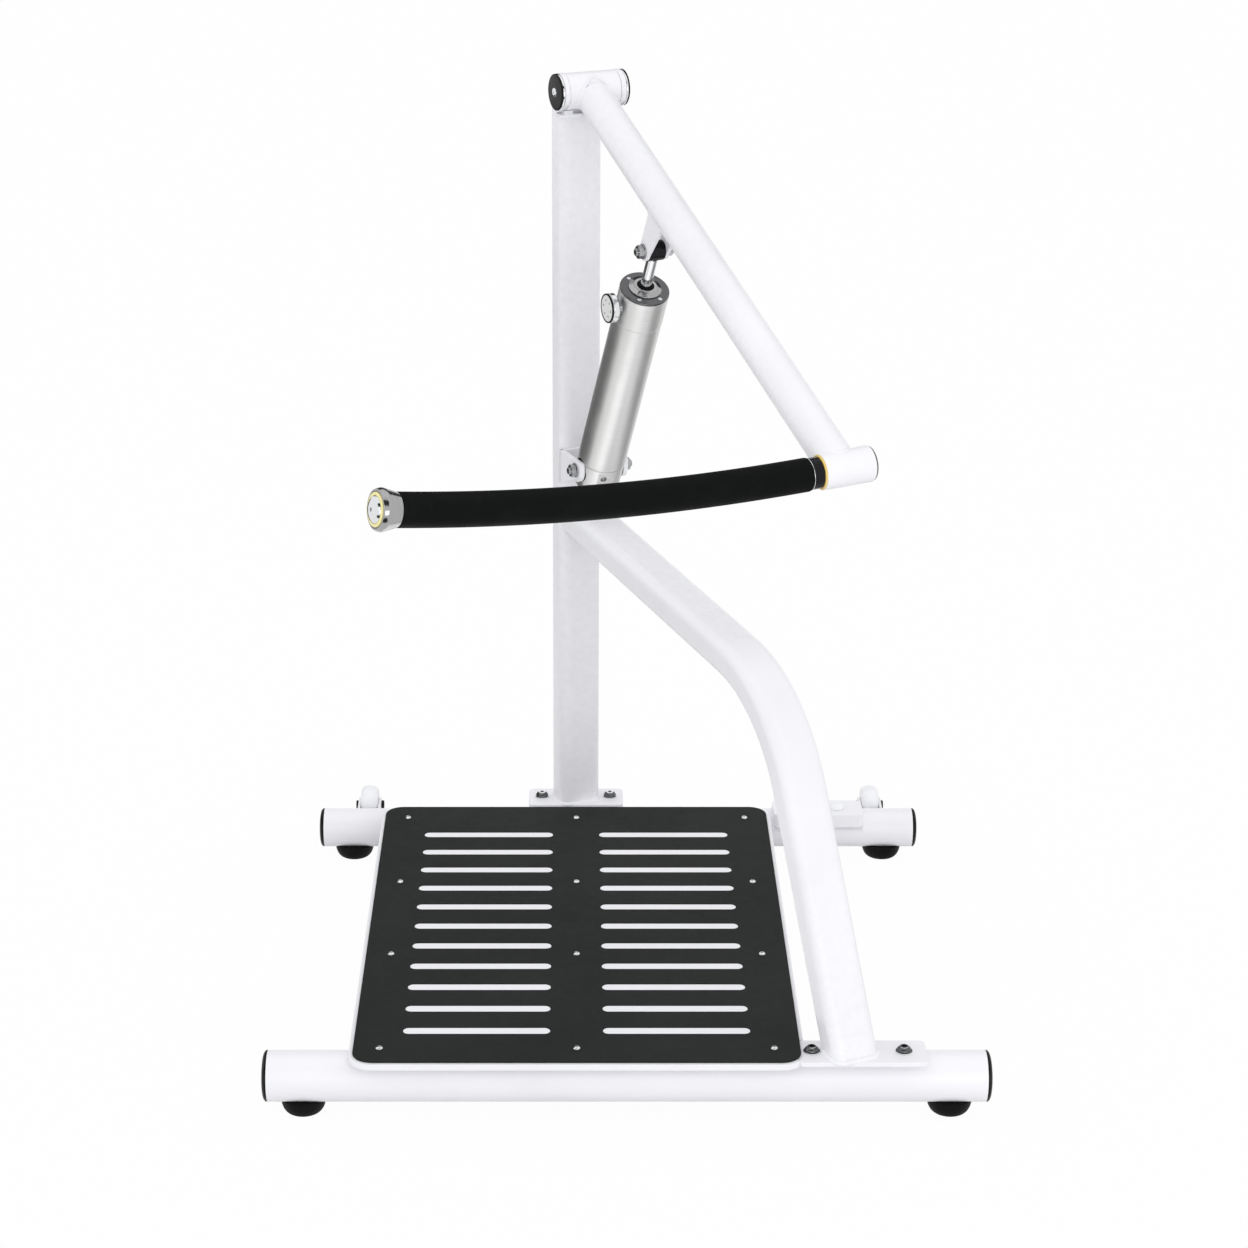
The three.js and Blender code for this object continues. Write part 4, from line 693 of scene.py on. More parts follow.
def blended(tree, mask, first, second):
    """A colour that goes from the first to the second as the mask rises."""
    node = tree.nodes.new("ShaderNodeMix")
    node.data_type = "RGBA"
    node.clamp_factor = True
    for socket, colour in ((node.inputs[6], first), (node.inputs[7], second)):
        if isinstance(colour, tuple):
            socket.default_value = colour
        else:
            tree.links.new(colour, socket)
    tree.links.new(mask, node.inputs[0])
    return node.outputs[2]


def raised(tree, shader, height, depth):
    """Bump of a depth in metres from a height."""
    bump = tree.nodes.new("ShaderNodeBump")
    bump.inputs["Strength"].default_value = 1.0
    bump.inputs["Distance"].default_value = depth
    wire(tree, (height, bump.inputs["Height"]), (bump.outputs["Normal"], shader.inputs["Normal"]))


def powder_finish(name, light, dark, painted_edge_colour, roughness, dimple, depth, painted_edge, shine=0.5):
    """Powder coat: two close tones in slow clouds, corners painted in an edge colour, and dimples in its
    skin.
    """
    material, tree, shader = new_finish(name)
    shader.inputs["Specular IOR Level"].default_value = shine
    skin = placed(tree, POWDER, Dimple_scale=dimple)
    edges = placed(tree, PAINTED_EDGES, Amount=painted_edge)
    body = blended(tree, skin["Tone"], dark, light)
    wire(
        # The corners take the edge colour: a painted sheen where it is lighter than the body
        tree, (blended(tree, edges["Mask"], body, painted_edge_colour), shader.inputs["Base Color"]),
        (spread(tree, skin["Gloss"], 0, 1, roughness - 0.04, roughness + 0.05), shader.inputs["Roughness"]),
    )
    raised(tree, shader, skin["Height"], depth)
    return material


def metal_finish(name, light, dark, roughness, around, along, depth, smudge=0.06):
    """Bare metal: lathe lines that change its tone, height and gloss, faint smudges, and edges painted in the
    light tone as a sheen.
    """
    material, tree, shader = new_finish(name)
    shader.inputs["Metallic"].default_value = 1.0
    grain = placed(tree, BRUSHED, Around=around, Along=along)
    edges = placed(tree, PAINTED_EDGES, Amount=0.35)
    body = blended(tree, grain["Streak"], dark, light)
    rough = arithmetic(
        tree, "ADD", spread(tree, grain["Streak"], 0, 1, roughness - 0.03, roughness + 0.03),
        arithmetic(tree, "MULTIPLY", grain["Smudge"], smudge),
    )
    wire(
        # The edges take the light tone: a painted sheen
        tree, (blended(tree, edges["Mask"], body, light), shader.inputs["Base Color"]),
        (rough, shader.inputs["Roughness"]),
    )
    raised(tree, shader, grain["Height"], depth)
    return material


def moulded_finish(name, body, dust_and_edge_colour, roughness, pebble, depth, dust=0.35, shine=0.5):
    """Moulded rubber or plastic: pebbled skin, a little dust, corners painted in the same colour as the dust,
    and gloss that wanders.
    """
    material, tree, shader = new_finish(name)
    shader.inputs["Specular IOR Level"].default_value = shine
    grain = placed(tree, MOULDED, Pebble_scale=pebble)
    edges = placed(tree, PAINTED_EDGES, Amount=0.25)
    dusted = arithmetic(tree, "MULTIPLY", grain["Dust"], dust)
    # The edges share the dust colour: a painted sheen where that colour is the lighter one
    mask = arithmetic(tree, "MAXIMUM", dusted, edges["Mask"])
    wire(
        tree, (blended(tree, mask, body, dust_and_edge_colour), shader.inputs["Base Color"]),
        (spread(tree, grain["Gloss"], 0, 1, roughness - 0.05, roughness + 0.05), shader.inputs["Roughness"]),
    )
    raised(tree, shader, grain["Height"], depth)
    return material


# The third colour goes on the corners through the painted edge mask, a little darker than the body
WHITE = powder_finish(
    "white powder coat", srgb(241, 241, 245), srgb(236, 236, 240), srgb(214, 215, 218),
    roughness=0.38, dimple=620, depth=2.2e-5, painted_edge=0.25, shine=0.4,
)
# The third colour lightens the corners: a painted sheen along the plate's edges
BLACK_PLATE = powder_finish(
    "charcoal step plate", srgb(43, 45, 44), srgb(37, 39, 38), srgb(82, 83, 82),
    roughness=0.5, dimple=1500, depth=3.5e-5, painted_edge=0.5, shine=0.04,
)
BLACK_PLASTIC = moulded_finish(
    "black end cap plastic", srgb(17, 17, 18), srgb(46, 46, 48),
    roughness=0.34, pebble=1100, depth=6e-6, dust=0.3, shine=0.14,
)
GRIP_RUBBER = moulded_finish(
    "grip rubber", srgb(15, 16, 16), srgb(30, 31, 32),
    roughness=0.6, pebble=1500, depth=2.5e-5, dust=0.35, shine=0.05,
)
FOOT_RUBBER = moulded_finish(
    "foot rubber", srgb(13, 13, 14), srgb(44, 43, 42),
    roughness=0.52, pebble=800, depth=2e-5, dust=0.3, shine=0.08,
)
WHITE_NYLON = moulded_finish(
    "white nylon", srgb(240, 241, 244), srgb(222, 222, 222), roughness=0.42, pebble=700, depth=8e-6,
)
# The cream second colour is dust, and a painted highlight on the bush's edges
NYLON_BUSH = moulded_finish(
    "yellow bush nylon", srgb(236, 204, 112), srgb(248, 236, 190), roughness=0.3, pebble=900, depth=6e-6,
)
PALE_NYLON = moulded_finish(
    "pale yellow nylon", srgb(242, 232, 166), srgb(248, 243, 206), roughness=0.34, pebble=900, depth=6e-6,
)
ALUMINIUM = metal_finish(
    "turned aluminium", srgb(232, 232, 231), srgb(206, 206, 205),
    roughness=0.37, around=5.0, along=3200.0, depth=2.5e-6,
)
STAINLESS = metal_finish(
    "polished stainless", srgb(186, 186, 186), srgb(146, 146, 147),
    roughness=0.13, around=8.0, along=2400.0, depth=1.2e-6,
)
CHROME = metal_finish(
    "chrome plate", srgb(232, 233, 235), srgb(220, 221, 223),
    roughness=0.07, around=4.0, along=900.0, depth=3e-7, smudge=0.04,
)
BLACK_NICKEL = metal_finish(
    "black nickel collar", srgb(46, 46, 48), srgb(34, 34, 36),
    roughness=0.12, around=6.0, along=1800.0, depth=8e-7, smudge=0.05,
)
DARK_STEEL = metal_finish(
    "dark cover steel", srgb(112, 112, 114), srgb(84, 85, 86),
    roughness=0.2, around=5.0, along=2800.0, depth=2e-6,
)
ZINC = metal_finish(
    "zinc bolt plate", srgb(196, 197, 198), srgb(128, 129, 130),
    roughness=0.13, around=30.0, along=500.0, depth=3e-6, smudge=0.12,
)
BRONZE = metal_finish(
    "bronze bush", srgb(206, 172, 96), srgb(184, 148, 74),
    roughness=0.3, around=8.0, along=2600.0, depth=2e-6,
)
DIAL_PRINT = moulded_finish(
    "dial face plate", srgb(226, 227, 226), srgb(200, 201, 200), roughness=0.4, pebble=1300, depth=5e-6,
)
DIAL_DOT = moulded_finish(
    "dial dot ink", srgb(96, 97, 98), srgb(120, 121, 122), roughness=0.5, pebble=1300, depth=3e-6,
)


def piece(made, body, finish, slot, *nodes):
    """Finishes an object: shading, material, body, and the CAD nodes that it stands for, which it hides. The
    slot is not used.
    """
    mesh = made.data
    mesh.materials.clear()
    mesh.materials.append(finish)
    mesh.polygons.foreach_set("use_smooth", [True] * len(mesh.polygons))
    mesh.set_sharp_from_angle(angle=SHARP_ANGLE)
    level = made.modifiers.new("flat faces", "WEIGHTED_NORMAL")
    level.keep_sharp = True
    level.weight = 100
    solid_now(made)
    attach(made, body)
    if nodes:
        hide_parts(*nodes)
    return made


def repaint(node, finish):
    """Gives a CAD node that stays in view its finish."""
    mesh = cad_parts[node].data
    mesh.materials.clear()
    mesh.materials.append(finish)


# Fasteners
def button_bolt(name, place):
    """A button head with its socket. Its washer and the bright ring round the socket are pieces too, both
    chrome as painted highlights on a zinc bolt.
    """
    top = WASHER_THICKNESS + BOLT_HEIGHT
    across = BOLT_SOCKET * math.sqrt(3)
    head = turned(name, [
        (0, WASHER_THICKNESS), (BOLT_HEAD - 0.8, WASHER_THICKNESS), (BOLT_HEAD, WASHER_THICKNESS + 0.8),
        (BOLT_HEAD, WASHER_THICKNESS + 2, 1.2), (BOLT_HEAD * 0.86, WASHER_THICKNESS + 4.6, 2.4),
        (BOLT_HEAD * 0.5, top, 1.6), (0, top),
    ], Matrix(), SMALL_SIDES)
    cut(head, hex_tool(across, top - BOLT_SOCKET_DEPTH, top + 2, Matrix()))
    hole = BOLT_HEAD * 0.6
    washer = turned(name + "_washer", [
        (hole, 0), (WASHER_RADIUS, 0), (WASHER_RADIUS, WASHER_THICKNESS), (hole, WASHER_THICKNESS),
    ], place, SMALL_SIDES, 0.4, True)
    # Chrome washer on a zinc bolt: a painted highlight for its bright lower part
    piece(washer, "frame", CHROME, "zinc")
    crown = turned(name + "_crown", [
        (0, top - 1), (BOLT_CROWN, top - 1, 0), (BOLT_CROWN, top + STEP, STEP), (0, top + STEP),
    ], place, SMALL_SIDES)
    # Chrome crown round the socket: a painted highlight on the zinc head
    piece(cut(crown, hex_tool(across, top - CROWN_SOCKET_DEPTH, top + 2, place)), "frame", CHROME, "zinc")
    head.data.transform(place)
    return head


def hex_nut(name, width, z0, z1, place):
    """A hexagon with its corners turned down to a cone at both faces."""
    body = plate(name, hexagon(width), z0, z1, place, STEP)
    corner = width / math.sqrt(3)
    cone = turned(name + "_cone", [
        (0, z0), (corner - 1.2, z0, 0), (corner + 0.2, z0 + 0.9, 0), (corner + 0.2, z1 - 0.9, 0),
        (corner - 1.2, z1, 0), (0, z1),
    ], place, 36)
    return common(body, cone)


def clevis_bolt(name, outer, place):
    """A through bolt along Z with a washer, a nut and a domed end at each side."""
    washer = outer + SEAT_GAP + PIN_WASHER_THICKNESS
    inside = washer - PIN_WASHER_THICKNESS
    end = washer + PIN_NUT_HEIGHT + PIN_END
    pin = [(0, -end), (PIN_RADIUS, -end, 1.6), (PIN_RADIUS, end, 1.6), (0, end)]
    parts = [turned(name + "_pin", pin, place, 32)]
    for side, flip in (("left", turn(180, "X")), ("right", Matrix())):
        parts.append(turned(f"{name}_washer_{side}", [
            (PIN_RADIUS, inside), (PIN_WASHER, inside), (PIN_WASHER, washer), (PIN_RADIUS, washer),
        ], place @ flip, SMALL_SIDES, 0.4, True))
        parts.append(hex_nut(f"{name}_nut_{side}", PIN_NUT, washer, washer + PIN_NUT_HEIGHT, place @ flip))
    return gathered(name, parts)


# Base
def build_end_cap(name, tube, sign):
    radius = tube["radius"]
    plug = radius - TUBE_WALL - SEAT_GAP
    profile = [
        (0, -CAP_PLUG), (plug, -CAP_PLUG), (plug, SEAT_GAP, 0), (radius, SEAT_GAP, 0.3),
        (radius, CAP_RIM, 0.4), *dome(radius - 1, CAP_RIM, CAP_DOME - CAP_RIM, steps=14, fullness=0.5),
        (0, CAP_DOME),
    ]
    place = BASE @ shift(TUBE_SHIFT + sign * tube["length"] / 2, tube["y"], tube["z"]) @ turn(sign * 90, "Y")
    piece(turned(f"cap_{name}", profile, place), "frame", BLACK_PLASTIC, "black_plastic", f"{name}_end_cap")


def build_foot(name, tube, sign):
    place = BASE @ shift(TUBE_SHIFT + sign * (tube["length"] / 2 - FOOT_INSET), tube["y"], 0)
    dish = [(0, FOOT_RECESS), (FOOT_HOLE, FOOT_RECESS, 0.4), (FOOT_HOLE, 0, 0.8), (FOOT_SOLE, 0, 1.5)]
    for step in range(1, FOOT_STEPS + 1):
        angle = step / FOOT_STEPS * math.pi / 2
        radius = FOOT_SOLE + (FOOT_RADIUS - FOOT_SOLE) * math.sin(angle)
        dish.append((radius, FOOT_TOP * (1 - math.cos(angle)), 0 if step < FOOT_STEPS else 1.2))
    dish.append((0, FOOT_TOP))
    foot = turned(f"foot_{name}", dish, place)
    seat = place @ shift(0, 0, tube["z"]) @ TO_X
    saddle = round_tool(tube["radius"] + SEAT_GAP, -FOOT_CUT, FOOT_CUT, seat, ROUND_SIDES)
    screw = turned("screw", [
        (0, FOOT_SCREW_LOW), (FOOT_SCREW, FOOT_SCREW_LOW, 1.2), (FOOT_SCREW, FOOT_SCREW_HIGH, 0.3),
        (0, FOOT_SCREW_HIGH),
    ], place, SMALL_SIDES)
    whole = gathered(f"foot_{name}", [cut(foot, saddle), screw])
    piece(whole, "frame", FOOT_RUBBER, "rubber", f"{name}_foot")


def pad(spot, tube):
    """A mounting pad that sits on its tube, with the tube's bore cut out of it."""
    outline = rounded_rectangle(spot["width"] - 2 * PAD_MARGIN, spot["depth"], FLANGE_CORNER)
    bottom = tube["z"] + tube["radius"] - PAD_SADDLE
    body = plate("pad", outline, bottom, spot["top"], BASE @ shift(spot["x"], spot["y"], 0), 1.2)
    along = BASE @ shift(spot["x"], tube["y"], tube["z"]) @ TO_X
    return cut(body, round_tool(tube["radius"] - PAD_BITE, -spot["width"], spot["width"], along))


def pad_bead(spot, tube):
    """The weld where a pad's walls meet the tube below, on the side that lies on the tube's top."""
    outline = rounded_rectangle(spot["width"] - 2 * PAD_MARGIN, spot["depth"], FLANGE_CORNER, 6)
    limit = tube["radius"] * PAD_BEAD_SPREAD
    path = []
    for point in resampled([Vector((p.x, p.y, 0)) for p in outline], 2.0):
        across = max(-limit, min(limit, point.y + spot["y"] - tube["y"]))
        height = tube["z"] + math.sqrt(tube["radius"] ** 2 - across ** 2)
        path.append(Vector((point.x + spot["x"], across + tube["y"], height)))
    return weld_bead("bead", path, BASE, PAD_BEAD)


def wheel_ears():
    """Two plates at each wheel, welded on the rear tube."""
    inner = WHEEL_WIDTH / 2 + SLIDING_GAP
    root = (-WHEEL_SETBACK, REAR_TUBE["z"] - WHEEL_AXLE_Z, WHEEL_EAR_ROOT)
    outline = tangent_outline((0, 0, WHEEL_EAR), root)
    ears = []
    for x in WHEEL_X.values():
        stand = BASE @ shift(x, REAR_TUBE["y"] + WHEEL_SETBACK, WHEEL_AXLE_Z) @ turn(90, "Z") @ SIDEWAYS
        along = BASE @ shift(x, REAR_TUBE["y"], REAR_TUBE["z"]) @ TO_X
        for start in (-inner - WHEEL_EAR_THICKNESS, inner):
            ear = plate("ear", outline, start, start + WHEEL_EAR_THICKNESS, stand, 0.9)
            ears.append(cut(ear, round_tool(REAR_TUBE["radius"] - PAD_BITE, -LONG_CUT, LONG_CUT, along)))
    return ears


def build_spare_caps():
    profile = [
        (0, SEAT_GAP), (SPARE_CAP_RADIUS, SEAT_GAP, 0.4),
        *dome(SPARE_CAP_RADIUS, 0, SPARE_CAP_HEIGHT, steps=12, fullness=0.6), (0, SPARE_CAP_HEIGHT),
    ]
    for side, sign in SIDES:
        place = BASE @ shift(SPARE_PAD["x"] + sign * SPARE_BOLTS / 2, SPARE_PAD["y"], SPARE_PAD["top"])
        cap = turned(f"spare_cap_{side}", profile, place, 64)
        piece(cap, "frame", WHITE_NYLON, "white_nylon", f"spare_pad_cap_{side}")


def build_base():
    for row, tube, pads in (("front", FRONT_TUBE, [BRACE_PAD]), ("rear", REAR_TUBE, [MAST_PAD, SPARE_PAD])):
        radius, length = tube["radius"], tube["length"]
        place = BASE @ shift(TUBE_SHIFT - length / 2, tube["y"], tube["z"]) @ TO_X
        inside = radius - TUBE_WALL
        wall = [(inside, 0), (radius, 0), (radius, length), (inside, length)]
        parts = [turned("tube", wall, place, closed=True)]
        for spot in pads:
            parts += [pad(spot, tube), pad_bead(spot, tube)]
        if row == "rear":
            parts += wheel_ears()
        piece(gathered(f"tube_{row}", parts), "frame", WHITE, "white_paint", f"{row}_cross_tube")
        for side, sign in SIDES:
            build_end_cap(f"{row}_{side}", tube, sign)
            build_foot(f"{row}_{side}", tube, sign)
    build_spare_caps()


# Platform
def slot_outline(x, y, margin=0.0):
    reach = (SLOT_LENGTH - SLOT_WIDTH) / 2
    radius = SLOT_WIDTH / 2 - margin
    quarter = math.pi / 2
    right = circle(radius, x + reach, y, 20, -quarter, quarter)
    left = circle(radius, x - reach, y, 20, quarter, 3 * quarter)
    return right + left


def platform_outline(margin):
    """The platform's rounded outline, grown by a margin."""
    width, length = PLATE_WIDTH + 2 * margin, PLATE_LENGTH + 2 * margin
    return rounded_rectangle(width, length, PLATE_CORNER + margin, PLATE_CORNER_STEPS)


def build_step_plate(middle):
    slots = [slot_outline(x, y) for x, y in SLOT_PLACES]
    outline, underside = platform_outline(0), PLATE_TOP - PLATE_THICKNESS
    sheet = plate("step_plate", outline, underside, PLATE_TOP, middle, 0.7, slots)
    piece(sheet, "frame", BLACK_PLATE, "black_plate", "platform_plate")


def build_plate_screws():
    first = PLATE_CENTRE_Y - PLATE_LENGTH / 2 + SCREW_FRONT
    span = PLATE_LENGTH - SCREW_FRONT - SCREW_BACK
    screws = []
    for column, x in enumerate((-SCREW_COLUMN_X, 0, SCREW_COLUMN_X)):
        for row, share in enumerate(SCREW_SHARES):
            heading = turn(SCREW_COLUMN_TURN * column + SCREW_ROW_TURN * row, "Z")
            place = BASE @ shift(x, first + share * span, PLATE_TOP) @ heading
            head = turned("screw", [
                (0, -1.5), (SCREW_RADIUS, -1.5, 0), (SCREW_RADIUS, 0.5, 0.5), (SCREW_RADIUS * 0.8, 1.6, 0.8),
                (SCREW_RADIUS * 0.45, SCREW_HEIGHT, 0.6), (0, SCREW_HEIGHT),
            ], place, 40)
            screws.append(cut(head, hex_tool(SCREW_SOCKET, 0.6, SCREW_HEIGHT + 1, place)))
    piece(gathered("step_plate_screws", screws), "frame", CHROME, "zinc")


def build_deck(middle):
    """The folded white sheet under the step plate, with a notch for the brace and a strip in each slot."""
    rim, inside = platform_outline(DECK_RIM), platform_outline(DECK_RIM - DECK_THICKNESS)
    sheet = plate("deck", rim, DECK_TOP - DECK_THICKNESS, DECK_TOP, middle, 1.2)
    lip = plate("lip", rim, DECK_TOP - DECK_LIP, DECK_TOP - DECK_THICKNESS + LIP_LAP, middle, 0.4, [inside])
    play = 2 * SLIDING_GAP
    room = rounded_rectangle(BRACE_FLANGE["width"] + play, FLANGE_DEPTH + play, FLANGE_CORNER + SLIDING_GAP)
    over_foot = BASE @ shift(BRACE_FLANGE_X, BRACE_FOOT_Y, 0)
    parts = []
    for part in (sheet, lip):
        parts.append(cut(part, plate("notch", room, NOTCH_LOW, NOTCH_HIGH, over_foot, TOOL_EDGE)))
    for x, y in SLOT_PLACES:
        rib = slot_outline(x, y, RIB_GAP)
        parts.append(plate("rib", rib, DECK_TOP - RIB_SINK, PLATE_TOP - RIB_BELOW_PLATE, middle, 0.3))
    piece(gathered("deck", parts), "frame", WHITE, "white_paint", "platform_deck")


def build_platform():
    middle = BASE @ shift(0, PLATE_CENTRE_Y, 0)
    build_step_plate(middle)
    build_plate_screws()
    build_deck(middle)
    for side in ("left", "centre", "right"):
        repaint(f"platform_rail_{side}", WHITE)


# Mast, yoke and brace
def flange_plate(flange, bottom, place):
    outline = rounded_rectangle(flange["width"], FLANGE_DEPTH, FLANGE_CORNER)
    return plate("flange", outline, bottom, bottom + flange["thickness"], place, FLANGE_EDGE)


def yoke_fillers():
    """Blocks that close the room under the pivot tube: one in the middle and two beside it."""
    side = ARM_RADIUS + FILLER_CLEAR
    middle = ARM_RADIUS + FILLER_LAP
    back, low = PIVOT_ADVANCE - FILLER_BACK, YOKE_TOP - 1
    spans = (
        (-YOKE_INNER, -side, FILLER_FRONT), (-middle, middle, FILLER_MIDDLE),
        (side, YOKE_INNER, FILLER_FRONT),
    )
    return [
        block("filler", back, PIVOT_ADVANCE + reach, y0, y1, low, FILLER_TOP, SPINE, 0.6)
        for y0, y1, reach in spans
    ]


def build_mast():
    """The post and what is welded on it. The yoke's plates differ by a step, so that no faces coincide."""
    section = rounded_rectangle(SPINE_DEPTH, SPINE_WIDTH, SPINE_CORNER)
    ends = (MAST_FLANGE_BOTTOM + MAST_SINK, MAST_TOP + STEP)
    rings = [[Vector((p.x, p.y, z)) for p in section] for z in ends]
    square = SPINE @ turn(90 - SPINE_HEADING, "Z")
    back, front = YOKE_FOOT_ADVANCE - YOKE_FOOT_RADIUS, YOKE_FOOT_ADVANCE + YOKE_FOOT_RADIUS
    side, reach = SPINE_WIDTH / 2, YOKE_OUTER - 1
    seam = [Vector((p.x, p.y, MAST_FLANGE_TOP)) for p in section]
    parts = [
        lofted("post", rings, SPINE),
        plate("cover", section, MAST_TOP, YOKE_TOP, SPINE, 1.2),
        block("saddle", 0, front - STEP, STEP - side, side - STEP, MAST_TOP, YOKE_TOP + STEP, SPINE, 1.2),
        block("bridge", back, front, -reach, reach, MAST_TOP + STEP, YOKE_TOP + 2 * STEP, SPINE, 1.2),
        *yoke_fillers(),
        flange_plate(MAST_FLANGE, MAST_FLANGE_BOTTOM, square),
        weld_bead("bead", resampled(seam), SPINE, MAST_BEAD),
    ]
    foot = (YOKE_FOOT_ADVANCE, YOKE_TOP, YOKE_FOOT_RADIUS)
    outline = tangent_outline(foot, (PIVOT_ADVANCE, PIVOT_HEIGHT, EAR_RADIUS))
    ear = [p for p in outline if p.y >= MAST_TOP]
    bore = circle(AXLE_RADIUS + SEAT_GAP, PIVOT_ADVANCE, PIVOT_HEIGHT)
    for start in (-YOKE_OUTER, YOKE_INNER):
        parts.append(plate("ear", ear, -start - EAR_THICKNESS, -start, SPINE @ SIDEWAYS, 1.0, [bore]))
    piece(gathered("mast_column", parts), "frame", WHITE, "white_paint", "mast")


def build_frame_bolts():
    middle = BRACE_FLANGE_X + BRACE_BOLT_SHIFT
    for side, sign in SIDES:
        spots = {
            "mast": (sign * MAST_FLANGE["bolts"] / 2, MAST_Y, MAST_FLANGE_TOP + SEAT_GAP),
            "brace": (middle + sign * BRACE_FLANGE["bolts"] / 2, BRACE_FOOT_Y, BRACE_FLANGE_TOP + SEAT_GAP),
        }
        headings = {"mast": MAST_BOLT_TURN * sign, "brace": BRACE_BOLT_TURN}
        for post, spot in spots.items():
            head = button_bolt(f"bolt_{post}_{side}", BASE @ shift(*spot) @ turn(headings[post], "Z"))
            # The head is dark steel on a zinc bolt: painted shade for its dark top
            piece(head, "frame", DARK_STEEL, "zinc", f"{post}_bolt_{side}")


def mast_front(y):
    """How far the mast's surface stands forward of its axis at a distance across."""
    over = abs(y) - (SPINE_WIDTH / 2 - SPINE_CORNER)
    if over <= 0:
        return SPINE_DEPTH / 2
    return SPINE_DEPTH / 2 - SPINE_CORNER + math.sqrt(max(SPINE_CORNER ** 2 - over ** 2, 0))


def brace_stations():
    """Places (x, z, slope) along the brace: straight from the mast, round the bend and down to its flange."""
    top, foot = math.radians(BRACE_TOP_SLOPE), math.radians(BRACE_FOOT_SLOPE)
    foot_z = BRACE_FLANGE_BOTTOM + BRACE_FLANGE["thickness"] / 2
    run = SPINE_RUN + (BRACE_FLANGE_TOP - foot_z) / math.tan(foot)
    corner_x = (foot_z + run * math.tan(foot) - BRACE_TOP) / (math.tan(foot) - math.tan(top))
    corner_z = BRACE_TOP - corner_x * math.tan(top)
    reach = BRACE_BEND * math.tan((foot - top) / 2)
    start_x = corner_x - reach * math.cos(top)
    start_z = corner_z + reach * math.sin(top)
    centre_x = start_x - BRACE_BEND * math.sin(top)
    centre_z = start_z - BRACE_BEND * math.cos(top)
    stations = [(0, BRACE_TOP, top)]
    for step in range(BEND_STEPS + 1):
        slope = top + (foot - top) * step / BEND_STEPS
        x = centre_x + BRACE_BEND * math.sin(slope)
        z = centre_z + BRACE_BEND * math.cos(slope)
        stations.append((x, z, slope))
    below = z - foot_z + SPINE_DEPTH / 2
    stations.append((x + below / math.tan(foot), z - below, foot))
    return stations


def brace_tube(section):
    """The bent tube, trimmed to the mast's face and to the top of its flange."""
    rings = []
    for x, z, slope in brace_stations():
        up = Vector((math.sin(slope), 0, math.cos(slope)))
        rings.append([Vector((x, 0, z)) + Vector((0, p[0], 0)) + up * p[1] for p in section])
    tube = lofted("brace", rings, SPINE)
    gap = 2 * SEAT_GAP
    grown = rounded_rectangle(SPINE_DEPTH + gap, SPINE_WIDTH + gap, SPINE_CORNER + SEAT_GAP, 24)
    low, high = BRACE_TOP - BRACE_TRIM_UP, BRACE_TOP + BRACE_TRIM_UP
    mast = plate("mast_tool", grown, low, high, SPINE, TOOL_EDGE)
    back, side = -BRACE_TRIM_BACK, BRACE_TRIM_SIDE
    behind = block("behind", back, 0, -side, side, low, high, SPINE, TOOL_EDGE)
    start, end = SPINE_RUN - FOOT_TRIM_ALONG, SPINE_RUN + FOOT_TRIM_ALONG
    floor = BRACE_FLANGE_TOP - 1
    below = block("below", start, end, -FOOT_TRIM_SIDE, FOOT_TRIM_SIDE, 0, floor, SPINE, TOOL_EDGE)
    return cut(tube, mast, behind, below)


def build_brace():
    section = [Vector((p.y, p.x)) for p in rounded_rectangle(SPINE_DEPTH, SPINE_WIDTH, SPINE_CORNER)]
    tube = brace_tube(section)
    top, foot = math.radians(BRACE_TOP_SLOPE), math.radians(BRACE_FOOT_SLOPE)
    seam = []
    for p in section:
        x = mast_front(p.x) + SEAT_GAP
        seam.append(Vector((x, p.x, BRACE_TOP - x * math.tan(top) + p.y / math.cos(top))))
    foot_seam = [Vector((SPINE_RUN + p.y / math.sin(foot), p.x, BRACE_FLANGE_TOP)) for p in section]
    aside = shift(BRACE_FLANGE_X - BRACE_FOOT_X, 0, 0)
    square = SPINE @ shift(SPINE_RUN, 0, 0) @ turn(90 - SPINE_HEADING, "Z") @ aside
    parts = [
        tube, flange_plate(BRACE_FLANGE, BRACE_FLANGE_BOTTOM, square),
        weld_bead("seam", resampled(seam), SPINE, BRACE_BEAD),
        weld_bead("foot_seam", resampled(foot_seam), SPINE, BRACE_FOOT_BEAD),
    ]
    piece(gathered("brace_tube", parts), "frame", WHITE, "white_paint", "brace")


def build_bracket():
    face = SPINE_DEPTH / 2 + SEAT_GAP
    outer = BRACKET_GAP / 2 + BRACKET_THICKNESS
    low, high = LOWER_PIN_HEIGHT - BRACKET_HEIGHT / 2, LOWER_PIN_HEIGHT + BRACKET_RISE
    tip = LOWER_PIN_ADVANCE + BRACKET_EAR
    nose = circle(BRACKET_EAR, LOWER_PIN_ADVANCE, LOWER_PIN_HEIGHT, 32, -math.pi / 2, 0)
    corner = circle(BRACKET_CORNER, tip - BRACKET_CORNER, high - BRACKET_CORNER, 12, 0, math.pi / 2)
    outline = [
        (face, low), (face + BRACKET_WEB, low),
        (LOWER_PIN_ADVANCE - BRACKET_EAR / 2, LOWER_PIN_HEIGHT - BRACKET_EAR),
        *(tuple(p) for p in nose + corner), (face, high),
    ]
    bore = circle(PIN_BORE, LOWER_PIN_ADVANCE, LOWER_PIN_HEIGHT, 32)
    parts = [block("web", face, face + BRACKET_WEB, -outer, outer, low, high, SPINE, 1.2)]
    for start in (-outer, BRACKET_GAP / 2):
        parts.append(plate("ear", outline, -start - BRACKET_THICKNESS, -start, SPINE @ SIDEWAYS, 1.2, [bore]))
    piece(gathered("bracket", parts), "frame", WHITE, "white_paint", "cylinder_bracket")
    bolt = clevis_bolt("bolt_lower", outer, LOWER_PIN @ TO_RIGHT)
    piece(bolt, "frame", ZINC, "zinc", "lower_cylinder_bolt")


